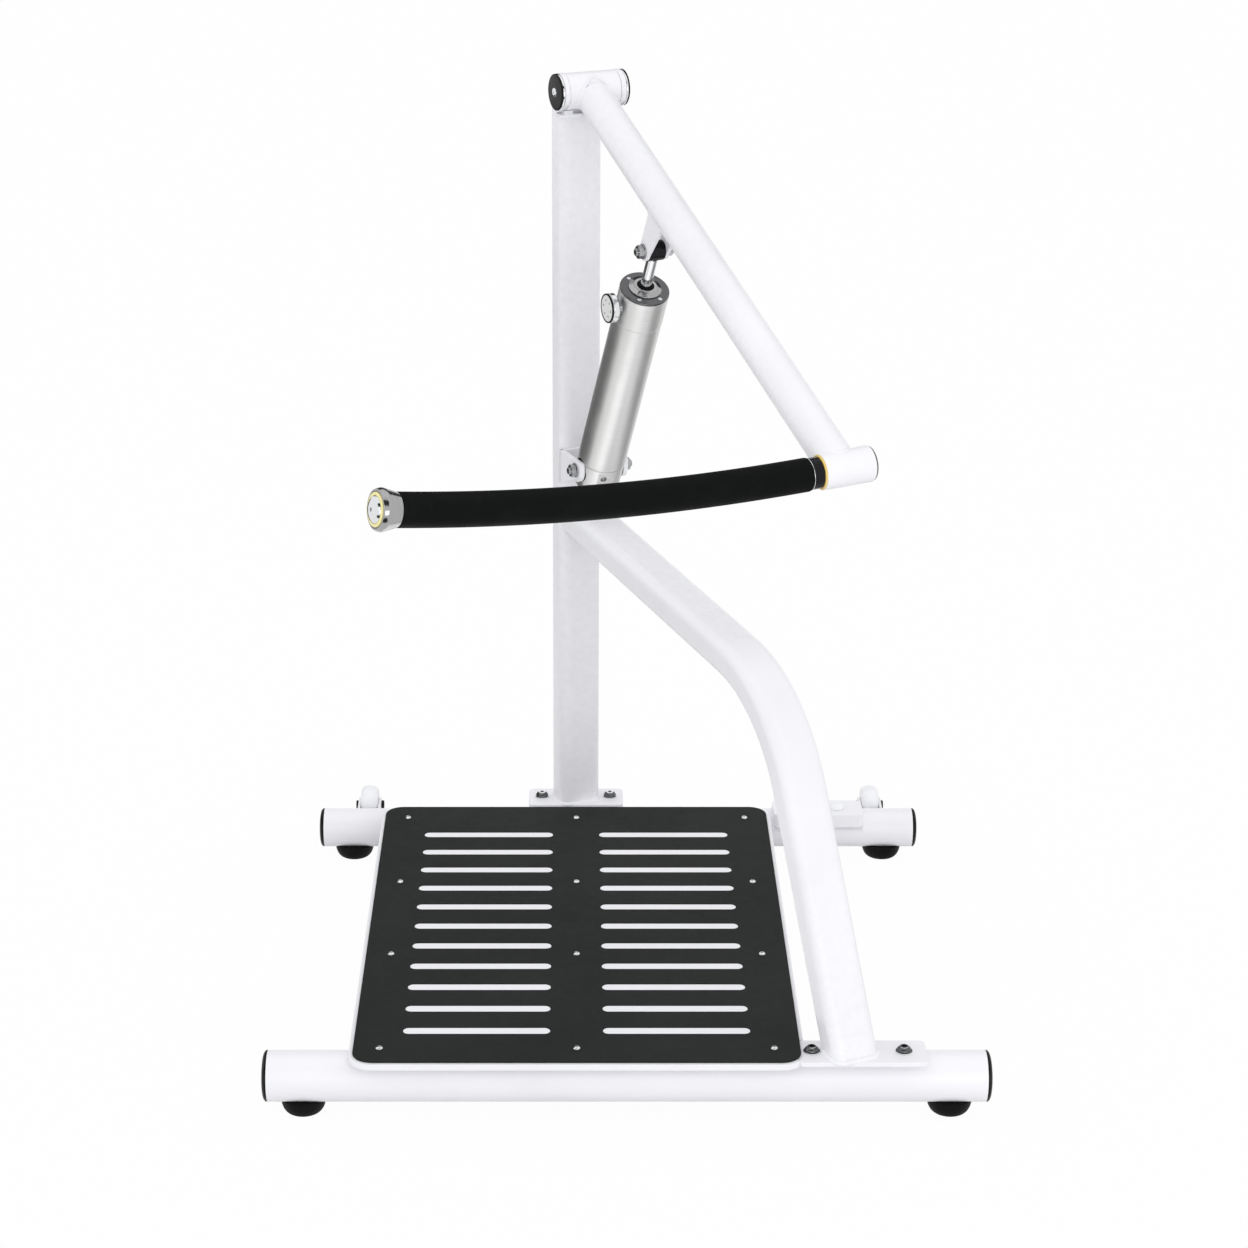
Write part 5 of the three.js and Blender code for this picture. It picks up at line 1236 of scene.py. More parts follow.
# Pivot head
def build_pivot_ring(side, place):
    inside, start = AXLE_RADIUS + SEAT_GAP, YOKE_OUTER + SEAT_GAP
    ring = turned(f"ring_{side}", [
        (inside, start), (RING_RADIUS - 0.5, start, 0.5), (RING_RADIUS, start + RING_THICKNESS * 0.4, 1.2),
        (RING_RADIUS - 0.9, RING_OUTER, 0.6), (inside, RING_OUTER),
    ], place, closed=True)
    piece(ring, "frame", CHROME, "chrome", f"pivot_ring_{side}")


def build_pivot_cap(side, place):
    """The black cap over a ring, and the head of its centre bolt."""
    start = RING_OUTER + SEAT_GAP
    edge = start + PIVOT_CAP_THICKNESS
    crown = edge + PIVOT_CAP_DOME / 2
    cap = turned(f"cap_pivot_{side}", [
        (0, start), (PIVOT_CAP_RADIUS, start, 0.3), (PIVOT_CAP_RADIUS, edge - PIVOT_CAP_DOME / 2, 0.6),
        (PIVOT_CAP_RADIUS - PIVOT_CAP_DOME, edge, 0.8), (PIVOT_CAP_RADIUS / 2, crown, 3), (0, crown),
    ], place)
    piece(cap, "frame", BLACK_PLASTIC, "black_plastic", f"pivot_cap_{side}")
    top = crown + CAP_BOLT_HEIGHT
    head = turned(f"cap_bolt_{side}", [
        (0, crown - 1), (CAP_BOLT_RADIUS, crown - 1, 0), (CAP_BOLT_RADIUS, crown + CAP_BOLT_HEIGHT / 3, 0.5),
        (CAP_BOLT_RADIUS * 0.7, top, 1.8), (0, top),
    ], place, SMALL_SIDES)
    piece(cut(head, hex_tool(CAP_BOLT_SOCKET, crown + 0.4, crown + 4, place)), "frame", CHROME, "chrome")


def build_pivot():
    for side, way in (("left", TO_LEFT), ("right", TO_RIGHT)):
        build_pivot_ring(side, PIVOT @ way)
        build_pivot_cap(side, PIVOT @ way)
        repaint(f"pivot_bush_{side}", BRONZE)
    repaint("pivot_axle", ZINC)


# Arm
def saddle_loop(radius, host, direction, offset=0.0, steps=160):
    """Where a tube along +X of one radius comes out of a tube along +Y of another."""
    loop = []
    for step in range(steps):
        angle = math.tau * step / steps
        y, z = radius * math.cos(angle), radius * math.sin(angle)
        reach = math.sqrt(max(host ** 2 - z ** 2, 0))
        loop.append(Vector((offset + direction * reach, y, z)))
    return loop


def ear_bead(start, left, right):
    """The weld round an ear's root on the underside of the arm."""
    end = start + ARM_EAR_THICKNESS
    corners = [Vector((x, y, 0)) for x, y in ((left, start), (right, start), (right, end), (left, end))]
    loop = [Vector((p.x, p.y, -math.sqrt(ARM_RADIUS ** 2 - p.y ** 2))) for p in resampled(corners, 1.5)]
    return weld_bead("ear_seam", loop, ARM, EAR_BEAD)


def arm_tube():
    """The long tube, hollowed where the pivot tube and the hub pass, with a drawn-in end."""
    inside = PIVOT_RADIUS - PIVOT_WALL
    tube = turned("tube", [
        (0, inside + 1), (ARM_RADIUS, inside + 1, 0), (ARM_RADIUS, ARM_LENGTH - 20, 0),
        (ARM_RADIUS - 0.6, ARM_LENGTH - 10, 0), (ARM_RADIUS - 2.4, ARM_LENGTH - 2, 0),
        (ARM_RADIUS - 4.4, ARM_LENGTH, 0), (0, ARM_LENGTH),
    ], ARM @ TO_X)
    bore = round_tool(inside, -LONG_CUT, LONG_CUT, ARM @ TO_RIGHT)
    core = round_tool(HUB_RADIUS - 1, -LONG_CUT, LONG_CUT, HUB @ TO_RIGHT)
    return cut(tube, bore, core)


def arm_hub():
    """The handle's hub, longer than its wall at both ends so that its lips cover the bushes' flanges."""
    inside = HUB_RADIUS - HUB_WALL
    left_lip = -HUB_LEFT - SEAT_GAP - BUSH_FLANGE + HUB_LIP_STEP
    right_lip = HUB_RIGHT + SEAT_GAP + BUSH_FLANGE
    return turned("hub", [
        (inside, -HUB_LEFT, 0), (HUB_LIP, -HUB_LEFT, 0), (HUB_LIP, left_lip, 0.3),
        (HUB_RADIUS, left_lip, 0.9), (HUB_RADIUS, right_lip, 0.9),
        (HUB_LIP, right_lip, 0.3), (HUB_LIP, HUB_RIGHT, 0), (inside, HUB_RIGHT, 0),
    ], HUB @ TO_RIGHT, closed=True)


def build_arm():
    half, inside = PIVOT_LENGTH / 2, PIVOT_RADIUS - PIVOT_WALL
    sleeve = turned("pivot_sleeve", [
        (inside, -half), (PIVOT_RADIUS, -half, 1), (PIVOT_RADIUS, half, 1), (inside, half),
    ], ARM @ TO_RIGHT, closed=True)
    parts = [sleeve, arm_tube(), arm_hub()]
    root = ARM_RADIUS - ARM_EAR_SINK
    left = EAR_ALONG + EAR_ROOT_SHIFT - EAR_ROOT / 2
    right = EAR_ALONG + EAR_ROOT_SHIFT + EAR_ROOT / 2
    end = circle(EAR_END, EAR_ALONG, -EAR_BELOW, 32, math.pi, math.tau)
    outline = [(left, -root), *(tuple(p) for p in end), (right, -root)]
    hole = circle(PIN_BORE, EAR_ALONG, -EAR_BELOW, 32)
    for start in (-ARM_EAR_GAP / 2 - ARM_EAR_THICKNESS, ARM_EAR_GAP / 2):
        parts.append(plate("ear", outline, -start - ARM_EAR_THICKNESS, -start, ARM @ SIDEWAYS, 0.9, [hole]))
        parts.append(ear_bead(start, left, right))
    pivot_loop = saddle_loop(ARM_RADIUS - ARM_BEAD_SINK, PIVOT_RADIUS, 1)
    hub_loop = saddle_loop(min(ARM_RADIUS, HUB_RADIUS) - ARM_BEAD_SINK, HUB_RADIUS, -1, ARM_LENGTH)
    parts.append(weld_bead("pivot_seam", pivot_loop, ARM, BEAD_RADIUS))
    parts.append(weld_bead("hub_seam", hub_loop, ARM, HUB_BEAD))
    piece(gathered("arm_tube", parts), "arm", WHITE, "white_paint", "press_arm")
    pin = ARM @ shift(EAR_ALONG, 0, -EAR_BELOW) @ TO_RIGHT
    bolt = clevis_bolt("bolt_upper", ARM_EAR_GAP / 2 + ARM_EAR_THICKNESS, pin)
    piece(bolt, "arm", ZINC, "zinc", "upper_cylinder_bolt")


# Handle
def bar_point(distance):
    """Place and rise of the bar's axis at a distance from the middle of the hub."""
    past = max(distance - INNER_COLLAR_END, 0)
    if past == 0:
        return Vector((0, -distance, 0)), 0.0
    rise = past / BAR_CAMBER
    across = -INNER_COLLAR_END - BAR_CAMBER * math.sin(rise)
    return Vector((0, across, BAR_CAMBER * (1 - math.cos(rise)))), rise


def on_bar(distance):
    """The place of a turned piece that is drawn along +Z from the hub."""
    spot, rise = bar_point(distance)
    facing = Matrix.Rotation(math.pi / 2 - rise, 4, "X")
    return HUB @ Matrix.Translation(spot) @ facing @ shift(0, 0, -distance)


def along_bar(name, profile, sides=96):
    """A closed sleeve that follows the bar's camber: the profile is (radius, distance)."""
    rings = []
    for point in eased(profile, 0.8, True):
        spot, rise = bar_point(point.y)
        out, across = Vector((0, math.sin(rise), math.cos(rise))), Vector((1, 0, 0))
        rings.append([
            spot + (across * math.cos(angle) + out * math.sin(angle)) * point.x
            for angle in (math.tau * side / sides for side in range(sides))
        ])
    return lofted(name, rings, HUB, closed=True)


def sleeve_profile(inner, outer, start, end):
    """A sleeve's section, with points along it that are close enough to bend."""
    steps = round((end - start) / CAMBER_PITCH)
    middle = [start + (end - start) * step / steps for step in range(1, steps)]
    return [
        (inner, start), (outer, start, 2.0), *((outer, place, 0) for place in middle),
        (outer, end, 2.0), (inner, end), *((inner, place, 0) for place in reversed(middle)),
    ]


def build_inner_collar():
    start = HUB_LEFT + BUSH_FLANGE + 2 * SEAT_GAP
    end = INNER_COLLAR_END - COLLAR_RING_WIDTH
    collar = turned("collar_inner", [
        (BAR_BORE, start), (INNER_COLLAR, start, 1), (INNER_COLLAR, end, 0.4), (BAR_BORE, end),
    ], on_bar(start), closed=True)
    piece(collar, "handle", BLACK_NICKEL, "chrome", "handle_inner_collar")
    ring = turned("collar_ring", [
        (BAR_BORE, end), (COLLAR_RING, end, 0.5), (COLLAR_RING, INNER_COLLAR_END, 0.5),
        (BAR_BORE, INNER_COLLAR_END),
    ], on_bar(end), closed=True)
    piece(ring, "handle", CHROME, "chrome")


def build_tip():
    """The flared collar at the bar's end, its yellow ring and its polished plug."""
    first, seat = GRIP_END + SEAT_GAP, TIP_END + SEAT_GAP
    flare = first + TIP_CONE
    collar = turned("collar_tip", [
        (BAR_BORE, first), (TIP_ROOT, first, 0.8), (TIP_RADIUS, flare, 2), (TIP_RADIUS, flare + TIP_BAND, 2),
        (TIP_MOUTH + TIP_LIP, TIP_FACE, 1.8), (TIP_MOUTH, TIP_FACE, 0.4), (TIP_MOUTH, TIP_END, 0),
        (BAR_BORE, TIP_END),
    ], on_bar(GRIP_END), closed=True)
    piece(collar, "handle", STAINLESS, "brushed_steel", "handle_tip_collar")
    inside = PLUG_RADIUS + SEAT_GAP
    ring = turned("ring_tip", [
        (inside, seat), (TIP_RING, seat, 0.3), (TIP_RING, TIP_RING_FACE, 1.2), (inside, TIP_RING_FACE, 0.3),
    ], on_bar(TIP_END), closed=True)
    piece(ring, "handle", PALE_NYLON, "bronze", "handle_tip_ring")
    neck, shoulder = BAR_INSIDE - SEAT_GAP, PLUG_END - PLUG_DOME
    crown = dome(PLUG_RADIUS, shoulder, PLUG_DOME, steps=16, fullness=0.8)
    plug = turned("plug_tip", [
        (0, seat - PLUG_DEPTH), (neck, seat - PLUG_DEPTH), (neck, seat, 0), (PLUG_RADIUS, seat, 0),
        (PLUG_RADIUS, shoulder, 0.4), *(point for point in crown if point[0] > PLUG_HOLE + 1),
        (PLUG_HOLE, PLUG_END - 0.1, 0.4), (PLUG_HOLE, PLUG_END - 5, 0), (0, PLUG_END - 6),
    ], on_bar(TIP_END))
    piece(plug, "handle", CHROME, "chrome", "handle_tip_plug")


def build_handle_cap():
    face = HUB_RIGHT + BUSH_FLANGE + 2 * SEAT_GAP
    neck, top = BAR_INSIDE - SEAT_GAP, face + END_CAP_THICKNESS
    cap = turned("cap_handle", [
        (0, BAR_TAIL - END_CAP_DEPTH), (neck, BAR_TAIL - END_CAP_DEPTH), (neck, face + SEAT_GAP, 0),
        (END_CAP_RADIUS, face + SEAT_GAP, 0.3), (END_CAP_RADIUS, face + END_CAP_THICKNESS / 2, 0.8),
        (END_CAP_RADIUS - 1.5, top, 1), (0, top),
    ], HUB @ TO_RIGHT)
    piece(cap, "handle", DARK_STEEL, "dark_steel", "handle_end_cap")


def build_hub_bushes():
    outer, brim = BAR_BORE + BUSH_WALL, HUB_LIP - 0.1
    for side, place, way in (("left", HUB_LEFT, TO_LEFT), ("right", HUB_RIGHT, TO_RIGHT)):
        start, seat, face = place - BUSH_LENGTH, place + SEAT_GAP, place + SEAT_GAP + BUSH_FLANGE
        bush = turned(f"bush_{side}", [
            (BAR_BORE, start), (outer, start), (outer, seat, 0), (brim, seat, 0.3), (brim, face, 1),
            (BAR_BORE, face),
        ], HUB @ way, closed=True)
        piece(bush, "arm", NYLON_BUSH, "bronze", f"hub_bush_{side}")


def build_handle():
    bar = along_bar("bar", sleeve_profile(BAR_INSIDE, BAR_RADIUS, -BAR_TAIL, TIP_END))
    piece(bar, "handle", STAINLESS, "brushed_steel", "handle_bar")
    build_inner_collar()
    start = INNER_COLLAR_END + 2 * SLIDING_GAP
    grip = along_bar("grip", sleeve_profile(BAR_BORE, GRIP_RADIUS, start, GRIP_END))
    piece(grip, "handle", GRIP_RUBBER, "rubber", "handle_grip")
    build_tip()
    build_handle_cap()
    build_hub_bushes()


# Cylinder
def build_base_block():
    """A turned block with flat cheeks, a round end, the open pivot bore, and a port in a flat panel."""
    bottom, groove = -BLOCK_DROP - BLOCK_SPARE, BARREL_START - BLOCK_COLLAR
    waist = BLOCK_RADIUS - BLOCK_GROOVE
    column = turned("block", [
        (0, bottom), (BLOCK_RADIUS, bottom, 0), (BLOCK_RADIUS, groove - BLOCK_GROOVE, 0.3),
        (waist, groove - BLOCK_GROOVE, 0), (waist, groove, 0), (BLOCK_RADIUS, groove, 0.3),
        (BLOCK_RADIUS, BARREL_START, 0.8), (0, BARREL_START),
    ], CYLINDER)
    half, sides = BLOCK_WIDTH / 2, BLOCK_RADIUS + 2
    end = [(sides * p.x, BLOCK_END * p.y) for p in circle(1, 0, 0, 48, math.pi, math.tau)]
    profile = end + [(sides, BARREL_START + 2), (-sides, BARREL_START + 2)]
    common(column, plate("profile", profile, -half, half, CYLINDER @ SIDEWAYS, TOOL_EDGE))
    bore = round_tool(OPEN_PIVOT, -BLOCK_CUT, BLOCK_CUT, CYLINDER @ TO_RIGHT)
    facing = CYLINDER @ turn(PORT_TURN, "Z")
    mouth = facing @ shift(BLOCK_RADIUS - PORT_DEPTH, 0, PORT_HEIGHT) @ TO_X
    port = round_tool(PORT_RADIUS, 0, PORT_REACH, mouth, SMALL_SIDES)
    across, outside = PORT_FLAT_WIDTH / 2, PORT_FLAT + PORT_FLAT_REACH
    panel = block("panel", PORT_FLAT, outside, -across, across, -BLOCK_CUT, PORT_FLAT_TOP, facing, TOOL_EDGE)
    soften(cut(column, bore, port, panel), 0.8)
    piece(column, "cylinder", ALUMINIUM, "brushed_steel", "cylinder_base_block")


def build_barrel():
    inside, start = BARREL_RADIUS - BARREL_WALL, BARREL_START + SEAT_GAP
    barrel = turned("barrel", [
        (inside, start), (BARREL_RADIUS, start, 0.8), (BARREL_RADIUS, BARREL_END, 0.6), (inside, BARREL_END),
    ], CYLINDER, closed=True)
    piece(barrel, "cylinder", ALUMINIUM, "brushed_steel", "cylinder_barrel")


def build_head():
    start, end, seat = BARREL_END + SEAT_GAP, COVER_START - SEAT_GAP, GLAND_RADIUS + SEAT_GAP
    head = turned("head", [
        (ROD_BORE, start), (HEAD_RADIUS, start, 0.9), (HEAD_RADIUS, end, 0.5), (seat, end),
        (seat, HEAD_END, 0), (ROD_BORE, HEAD_END),
    ], CYLINDER, closed=True)
    flat = math.sqrt(HEAD_RADIUS ** 2 - (DIAL_SEAT / 2) ** 2)
    dial_seat = round_tool(DIAL_SEAT / 2, flat, DIAL_CUT, DIAL_AXIS, SMALL_SIDES)
    stem_port = round_tool(DIAL_STEM + SEAT_GAP, STEM_PORT_START, STEM_PORT_END, DIAL_AXIS, SMALL_SIDES)
    piece(cut(head, dial_seat, stem_port), "cylinder", ALUMINIUM, "brushed_steel", "cylinder_head")


def build_cover():
    """The dark plate on the head, and its sunk screws."""
    inside, edge = GLAND_RADIUS + SEAT_GAP, HEAD_RADIUS - SEAT_GAP
    cover = turned("cover", [
        (inside, COVER_START), (edge, COVER_START, 0.3), (edge, COVER_END - COVER_CHAMFER / 2, 0.5),
        (HEAD_RADIUS - COVER_CHAMFER / 2, COVER_END, 0.5), (inside, COVER_END),
    ], CYLINDER, closed=True)
    screws = []
    for degrees in COVER_SCREW_TURNS:
        around = math.radians(degrees)
        across, up = COVER_SCREW_REACH * math.cos(around), COVER_SCREW_REACH * math.sin(around)
        place = CYLINDER @ shift(across, up, 0)
        cut(cover, round_tool(COVER_SCREW_RADIUS + 0.5, COVER_END - 2, COVER_END + 4, place, SMALL_SIDES))
        low, top = COVER_END - 3, COVER_END - 0.1
        screw = turned("cover_screw", [
            (0, low), (COVER_SCREW_RADIUS, low, 0), (COVER_SCREW_RADIUS, top, 0.7), (0, top),
        ], place, SMALL_SIDES)
        screws.append(cut(screw, hex_tool(COVER_SCREW_SOCKET, COVER_END - 1.6, COVER_END + 1, place)))
    piece(cover, "cylinder", DARK_STEEL, "dark_steel", "cylinder_head_cover")
    piece(gathered("cover_screws", screws), "cylinder", CHROME, "zinc")


def build_gland():
    """The bright gland round the rod, with a brim on the cover, and the rubber seal in it."""
    first, brim, top = HEAD_END + SEAT_GAP, COVER_END + SEAT_GAP, COVER_END + GLAND_HEIGHT
    floor, mouth = first + GLAND_FLOOR, SEAL_RADIUS + SEAT_GAP
    gland = turned("gland", [
        (ROD_BORE, first), (GLAND_RADIUS, first, 0), (GLAND_RADIUS, brim, 0), (GLAND_FLARE, brim, 0.3),
        (GLAND_FLARE, COVER_END + GLAND_BRIM, 1.0), (GLAND_RADIUS - COVER_CHAMFER, top, 1.4),
        (mouth, top, 0.5), (mouth, floor, 0), (ROD_BORE, floor, 0),
    ], CYLINDER, closed=True)
    piece(gland, "cylinder", STAINLESS, "brushed_steel", "cylinder_gland")
    start, end = floor + SEAT_GAP, COVER_END + SEAL_HEIGHT
    seal = turned("seal", [
        (ROD_BORE, start), (SEAL_RADIUS, start, 0), (SEAL_RADIUS, end - 2, 0.8), (ROD_RADIUS + 2, end, 0.8),
        (ROD_BORE, end, 0.3),
    ], CYLINDER, closed=True)
    piece(seal, "cylinder", FOOT_RUBBER, "rubber", "rod_seal")


def build_rod():
    """The chromed rod and its dark eye, whose black finish is partly the eye's own dark steel and partly
    painted shade, and the piston's finish.
    """
    neck, thin = STROKE_LENGTH - ROD_EYE + 1, ROD_RADIUS / 2
    shaft = turned("shaft", [
        (0, ROD_START), (thin, ROD_START, 0), (thin, PISTON_TOP, 0), (ROD_RADIUS, PISTON_TOP, 0.5),
        (ROD_RADIUS, neck, 0), (0, neck),
    ], CYLINDER, 64)
    place = CYLINDER @ shift(0, 0, STROKE_LENGTH) @ TO_RIGHT
    half = ROD_EYE_WIDTH / 2
    eye = turned("rod_eye", [(0, -half), (ROD_EYE, -half, 1.2), (ROD_EYE, half, 1.2), (0, half)], place, 64)
    hole = round_tool(PIN_BORE, -EYE_CUT, EYE_CUT, place, 40)
    piece(shaft, "rod", CHROME, "chrome", "cylinder_rod")
    # The eye's black nickel is partly painted shade, for the shade between the arm's ears
    piece(cut(eye, hole), "rod", BLACK_NICKEL, "chrome", "cylinder_rod")
    repaint("cylinder_piston", ALUMINIUM)


def build_dial():
    """The resistance dial: a chromed knob with a groove, a black rim, a pale face and its dots."""
    start = HEAD_RADIUS + DIAL_STAND
    end = start + DIAL_THICKNESS
    rim_low, waist = end - DIAL_RIM_THICKNESS, DIAL_RADIUS - DIAL_GROOVE
    recess, floor = DIAL_FACE + SEAT_GAP, end - DIAL_FACE_INSET - DIAL_FACE_THICKNESS
    knob = turned("dial_body", [
        (0, DIAL_STEM_START), (DIAL_STEM, DIAL_STEM_START, 0), (DIAL_STEM, start, 0),
        (DIAL_RADIUS - 2, start, 0.8), (DIAL_RADIUS, start + 2, 0.8), (DIAL_RADIUS, end - 4.6, 0.3),
        (waist, end - 4.2, 0.2), (waist, end - 3.6, 0.2), (DIAL_RADIUS, end - 3.2, 0.3),
        (DIAL_RADIUS, rim_low, 0.2), (recess, rim_low, 0), (recess, floor, 0), (0, floor),
    ], DIAL_AXIS)
    piece(knob, "dial", CHROME, "chrome", "dial_knob")
    rim = turned("dial_rim", [
        (DIAL_RIM, rim_low), (DIAL_RADIUS - 0.1, rim_low, 0.2), (DIAL_RADIUS - 0.3, end, 0.8),
        (DIAL_RIM, end, 0.3),
    ], DIAL_AXIS, closed=True)
    piece(rim, "dial", BLACK_PLASTIC, "black_plastic")
    top = end - DIAL_FACE_INSET
    low = top - DIAL_PRINT_THICKNESS
    face = turned("dial_plate", [(0, low), (DIAL_FACE, low, 0), (DIAL_FACE, top, 0.4), (0, top)], DIAL_AXIS)
    spots = []
    for index in range(DIAL_MARKS):
        around = math.tau * index / DIAL_MARKS + DIAL_MARK_TURN
        across, up = DIAL_MARK_REACH * math.cos(around), DIAL_MARK_REACH * math.sin(around)
        spots.append(DIAL_AXIS @ shift(across, up, 0))
        cut(face, round_tool(DIAL_MARK_RADIUS, top - 0.8, top + 2, spots[-1], DIAL_MARK_SIDES))
    piece(face, "dial", DIAL_PRINT, "dial_face", "dial_face")
    radius = DIAL_MARK_RADIUS - 0.1
    peg = [(0, top - 1.2), (radius, top - 1.2, 0), (radius, top - 0.3, 0.3), (0, top - 0.3)]
    pegs = [turned("peg", peg, spot, DIAL_MARK_SIDES) for spot in spots]
    piece(gathered("dial_pegs", pegs), "dial", DIAL_DOT, "black_plastic")


# Transport wheels
def wheel_profile():
    """A wide wheel with a round crown and a sunk hub face."""
    half = WHEEL_WIDTH / 2
    shoulder = []
    for step in range(WHEEL_STEPS + 1):
        angle = step / WHEEL_STEPS * math.pi / 2
        reach = WHEEL_RADIUS - WHEEL_CROWN * (1 - math.sin(angle))
        shoulder.append((reach, half - WHEEL_ROUND * (1 - math.cos(angle))))
    hub, edge = WHEEL_BORE + WHEEL_HUB, WHEEL_BORE + WHEEL_HUB_EDGE
    return [
        (WHEEL_BORE, -half + 1), (hub, -half + 1, 0.5), (edge, -half, 0.6),
        *((reach, -z, 0) for reach, z in shoulder), *((reach, z, 0) for reach, z in reversed(shoulder)),
        (edge, half, 0.6), (hub, half - 1, 0.5), (WHEEL_BORE, half - 1),
    ]


def build_wheels():
    outer = WHEEL_WIDTH / 2 + SLIDING_GAP + WHEEL_EAR_THICKNESS + SEAT_GAP
    end = outer + WHEEL_BOLT_HEIGHT
    pin = [(0, -end + 1), (WHEEL_BOLT, -end + 1, 0), (WHEEL_BOLT, end - 1, 0), (0, end - 1)]
    for side, x in WHEEL_X.items():
        place = BASE @ shift(x, REAR_TUBE["y"] + WHEEL_SETBACK, WHEEL_AXLE_Z) @ TO_X
        wheel = turned(f"wheel_{side}", wheel_profile(), place, closed=True)
        piece(wheel, f"wheel_{side}", WHITE_NYLON, "white_nylon", f"transport_wheel_{side}")
        parts = [turned("pin", pin, place, SMALL_SIDES)]
        for low in (outer, -end):
            parts.append(hex_nut("nut", WHEEL_BOLT_HEAD, low, low + WHEEL_BOLT_HEIGHT, place))
        bolt = gathered(f"bolt_wheel_{side}", parts)
        piece(bolt, "frame", BLACK_PLASTIC, "black_plastic", f"wheel_bolt_{side}")


build_base()
build_platform()
build_mast()
build_frame_bolts()
build_brace()
build_bracket()
build_pivot()
build_arm()
build_handle()
build_base_block()
build_barrel()
build_head()
build_cover()
build_gland()
build_rod()
build_dial()
build_wheels()

# Stage: camera, floor, backdrop and lamps, in metres but for the camera's place, with powers in watts
CAMERA_PLACE = (-6.3, -4379.5, 2239.7)
CAMERA_PITCH = 20.5
LENS, SENSOR, SIDEWAYS_SHIFT, CLIP_END = 86.54, 36, 0.04135, 60
FLOOR_HALF = 14.0
FLOOR_TONE, FLOOR_GLOW = 0.8, 0.97
SKY_STRENGTH = 1.0
LAMPS = {
    "key_lamp": {"place": (-2.4, -3.4, 3.0), "target": (0, 0, 0.6), "size": (2.4, 2.4), "power": 6},
    "front_lamp": {"place": (0.9, -4.6, 1.1), "target": (0, 0, 0.35), "size": (3.2, 1.6), "power": 32},
    "top_lamp": {"place": (0.0, 0.4, 4.2), "target": (0, 0, 0), "size": (3.0, 3.0), "power": 4},
}
CARD_LIFT, BOUNCE_SETBACK = 0.02, 0.15


def build_camera():
    """The photograph's viewing angle. The camera's place is in millimetres in the machine's frame."""
    lens = bpy.data.cameras.new("camera")
    lens.lens = LENS
    lens.sensor_width = SENSOR
    lens.shift_x = SIDEWAYS_SHIFT
    lens.clip_end = CLIP_END
    camera = bpy.data.objects.new("camera", lens)
    bpy.context.scene.collection.objects.link(camera)
    camera.location = BASE @ Vector(CAMERA_PLACE)
    camera.rotation_euler = (math.radians(90 - CAMERA_PITCH), 0, 0)
    bpy.context.scene.camera = camera


def sheet_of(name, corners):
    bm = bmesh.new()
    bm.faces.new([bm.verts.new(corner) for corner in corners])
    mesh = bpy.data.meshes.new(name)
    bm.to_mesh(mesh)
    bm.free()
    made = bpy.data.objects.new(name, mesh)
    bpy.context.scene.collection.objects.link(made)
    return made


def level(x0, x1, y0, y1, z):
    """The corners of a flat sheet that faces up."""
    return [(x0, y0, z), (x1, y0, z), (x1, y1, z), (x0, y1, z)]


def grey(tone):
    return (tone, tone, tone, 1)


def build_floor():
    """A white floor for the camera, gloss and glass, which still takes a faint shadow."""
    floor = sheet_of("floor", level(-FLOOR_HALF, FLOOR_HALF, -FLOOR_HALF, FLOOR_HALF, 0))
    material, tree, shader = new_finish("pale studio floor")
    shader.inputs["Base Color"].default_value = grey(FLOOR_TONE)
    shader.inputs["Roughness"].default_value = 0.9
    shader.inputs["Specular IOR Level"].default_value = 0.0
    glow = tree.nodes.new("ShaderNodeEmission")
    glow.inputs["Color"].default_value = grey(1)
    glow.inputs["Strength"].default_value = 1.0
    path = tree.nodes.new("ShaderNodeLightPath").outputs
    seen = arithmetic(tree, "MAXIMUM", path["Is Camera Ray"], path["Is Glossy Ray"])
    seen = arithmetic(tree, "MAXIMUM", seen, path["Is Transmission Ray"])
    mix = tree.nodes.new("ShaderNodeMixShader")
    wire(
        tree, (arithmetic(tree, "MULTIPLY", seen, FLOOR_GLOW), mix.inputs["Fac"]),
        (shader.outputs["BSDF"], mix.inputs[1]), (glow.outputs["Emission"], mix.inputs[2]),
        (mix.outputs["Shader"], tree.nodes["Material Output"].inputs["Surface"]),
    )
    floor.data.materials.append(material)


def build_world():
    world = bpy.data.worlds.new("studio")
    bpy.context.scene.world = world
    world.use_nodes = True
    sky = world.node_tree.nodes["Background"]
    sky.inputs["Color"].default_value = grey(1)
    sky.inputs["Strength"].default_value = SKY_STRENGTH


def softbox(name, place, target, size, power):
    lamp = bpy.data.lights.new(name, "AREA")
    lamp.shape = "RECTANGLE"
    lamp.size, lamp.size_y = size
    lamp.energy = power
    made = bpy.data.objects.new(name, lamp)
    bpy.context.scene.collection.objects.link(made)
    made.location = place
    made.rotation_euler = (Vector(target) - Vector(place)).to_track_quat("-Z", "Y").to_euler()


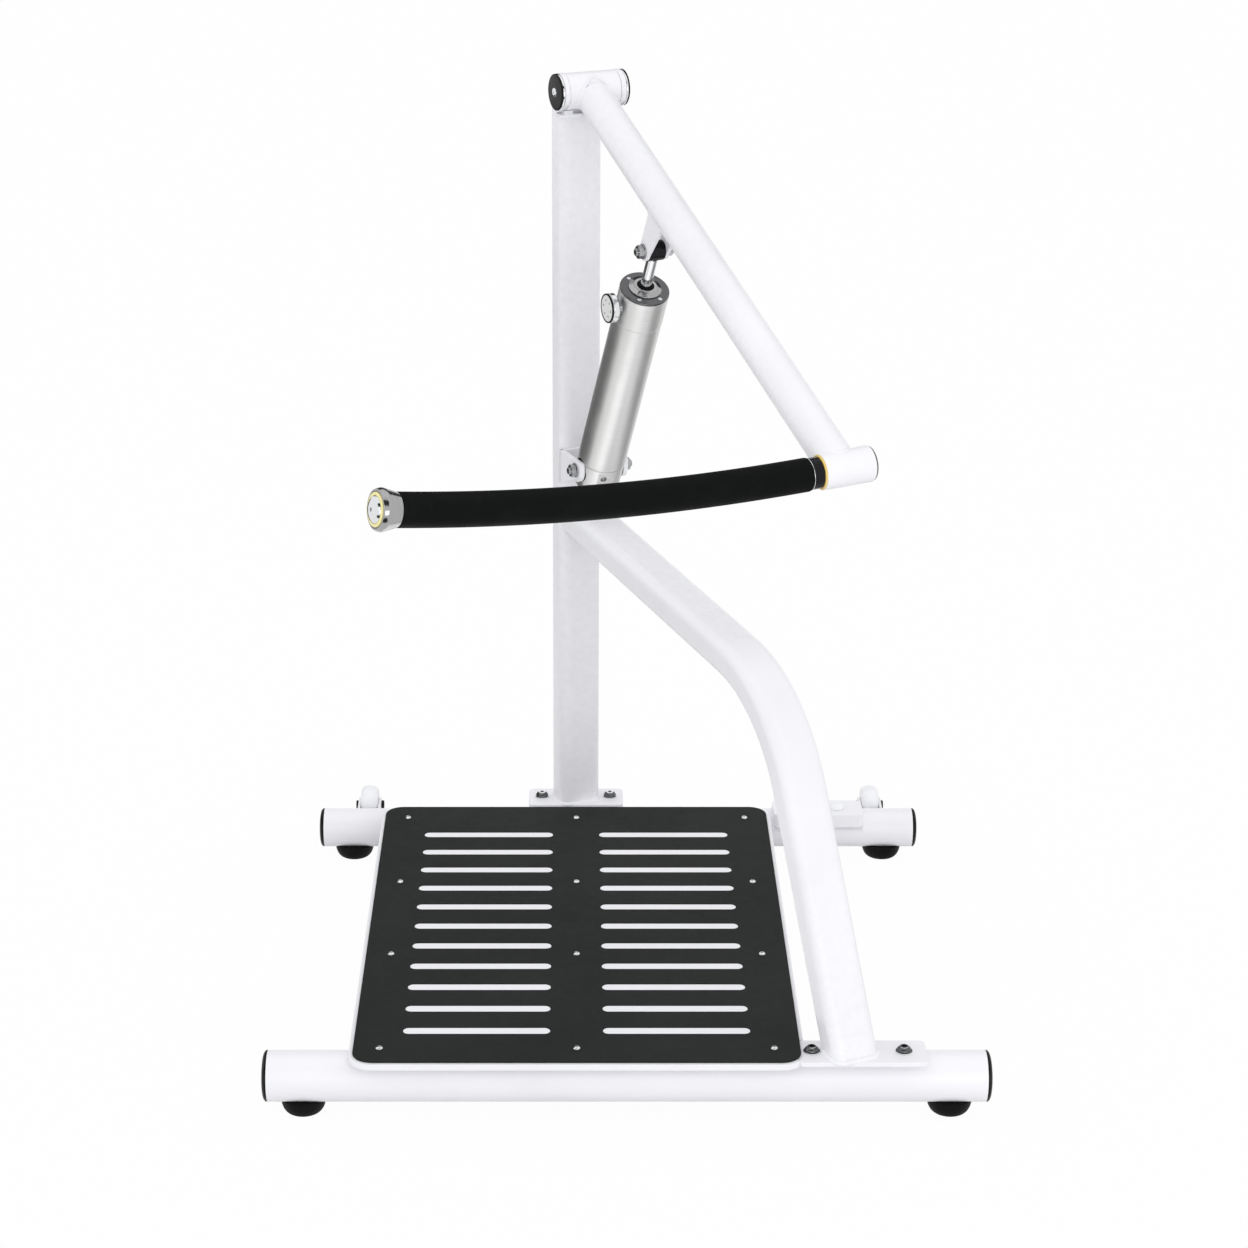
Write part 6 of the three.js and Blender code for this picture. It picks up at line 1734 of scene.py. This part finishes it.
def reflected_card(name, corners, tone, glow=0.0):
    """A studio card that only bare metal and gloss can see, dark or bright; its back lets them through."""
    card = sheet_of(name, corners)
    material, tree, shader = new_finish(name)
    shader.inputs["Base Color"].default_value = grey(tone)
    shader.inputs["Roughness"].default_value = 1.0
    shader.inputs["Specular IOR Level"].default_value = 0.0
    shader.inputs["Emission Color"].default_value = grey(1)
    shader.inputs["Emission Strength"].default_value = glow
    clear = tree.nodes.new("ShaderNodeBsdfTransparent")
    mix = tree.nodes.new("ShaderNodeMixShader")
    wire(
        tree, (tree.nodes.new("ShaderNodeNewGeometry").outputs["Backfacing"], mix.inputs["Fac"]),
        (shader.outputs["BSDF"], mix.inputs[1]), (clear.outputs["BSDF"], mix.inputs[2]),
        (mix.outputs["Shader"], tree.nodes["Material Output"].inputs["Surface"]),
    )
    card.data.materials.append(material)
    card.visible_camera = False
    card.visible_diffuse = False
    card.visible_shadow = False
    card.visible_transmission = False


def build_cards():
    """Dark cards that give bare metal its bands, and a bright one over the platform."""
    left = [(-1.0, 3.2, 0), (-1.0, 3.2, 1.0), (-1.0, 0.2, 1.0), (-1.0, 0.2, 0)]
    reflected_card("left_card", left, tone=0.12)
    roof = [(1.6, -3.6, 3.3), (-4.6, -3.6, 3.3), (-4.6, -1.6, 3.3), (1.6, -1.6, 3.3)]
    reflected_card("roof_card", roof, tone=0.04)
    rear = [(-2.6, 3.2, 1.7), (2.6, 3.2, 1.7), (2.6, 3.2, 4.2), (-2.6, 3.2, 4.2)]
    reflected_card("rear_card", rear, tone=0.05)
    reflected_card("front_card", level(-3.6, 0.2, -3.0, -1.5, CARD_LIFT), tone=0.04)
    reflected_card("right_card", level(0.6, 1.3, -0.05, 1.35, CARD_LIFT), tone=0.3)
    back, height = plate_high.y - BOUNCE_SETBACK, plate_high.z + CARD_LIFT
    bounce = level(plate_low.x, plate_high.x, plate_low.y, back, height)
    reflected_card("bounce_card", bounce, tone=0.8, glow=0.7)


bpy.context.scene.view_settings.view_transform = "Standard"
build_camera()
build_floor()
build_world()
for lamp_name, lamp_values in LAMPS.items():
    softbox(lamp_name, **lamp_values)
build_cards()
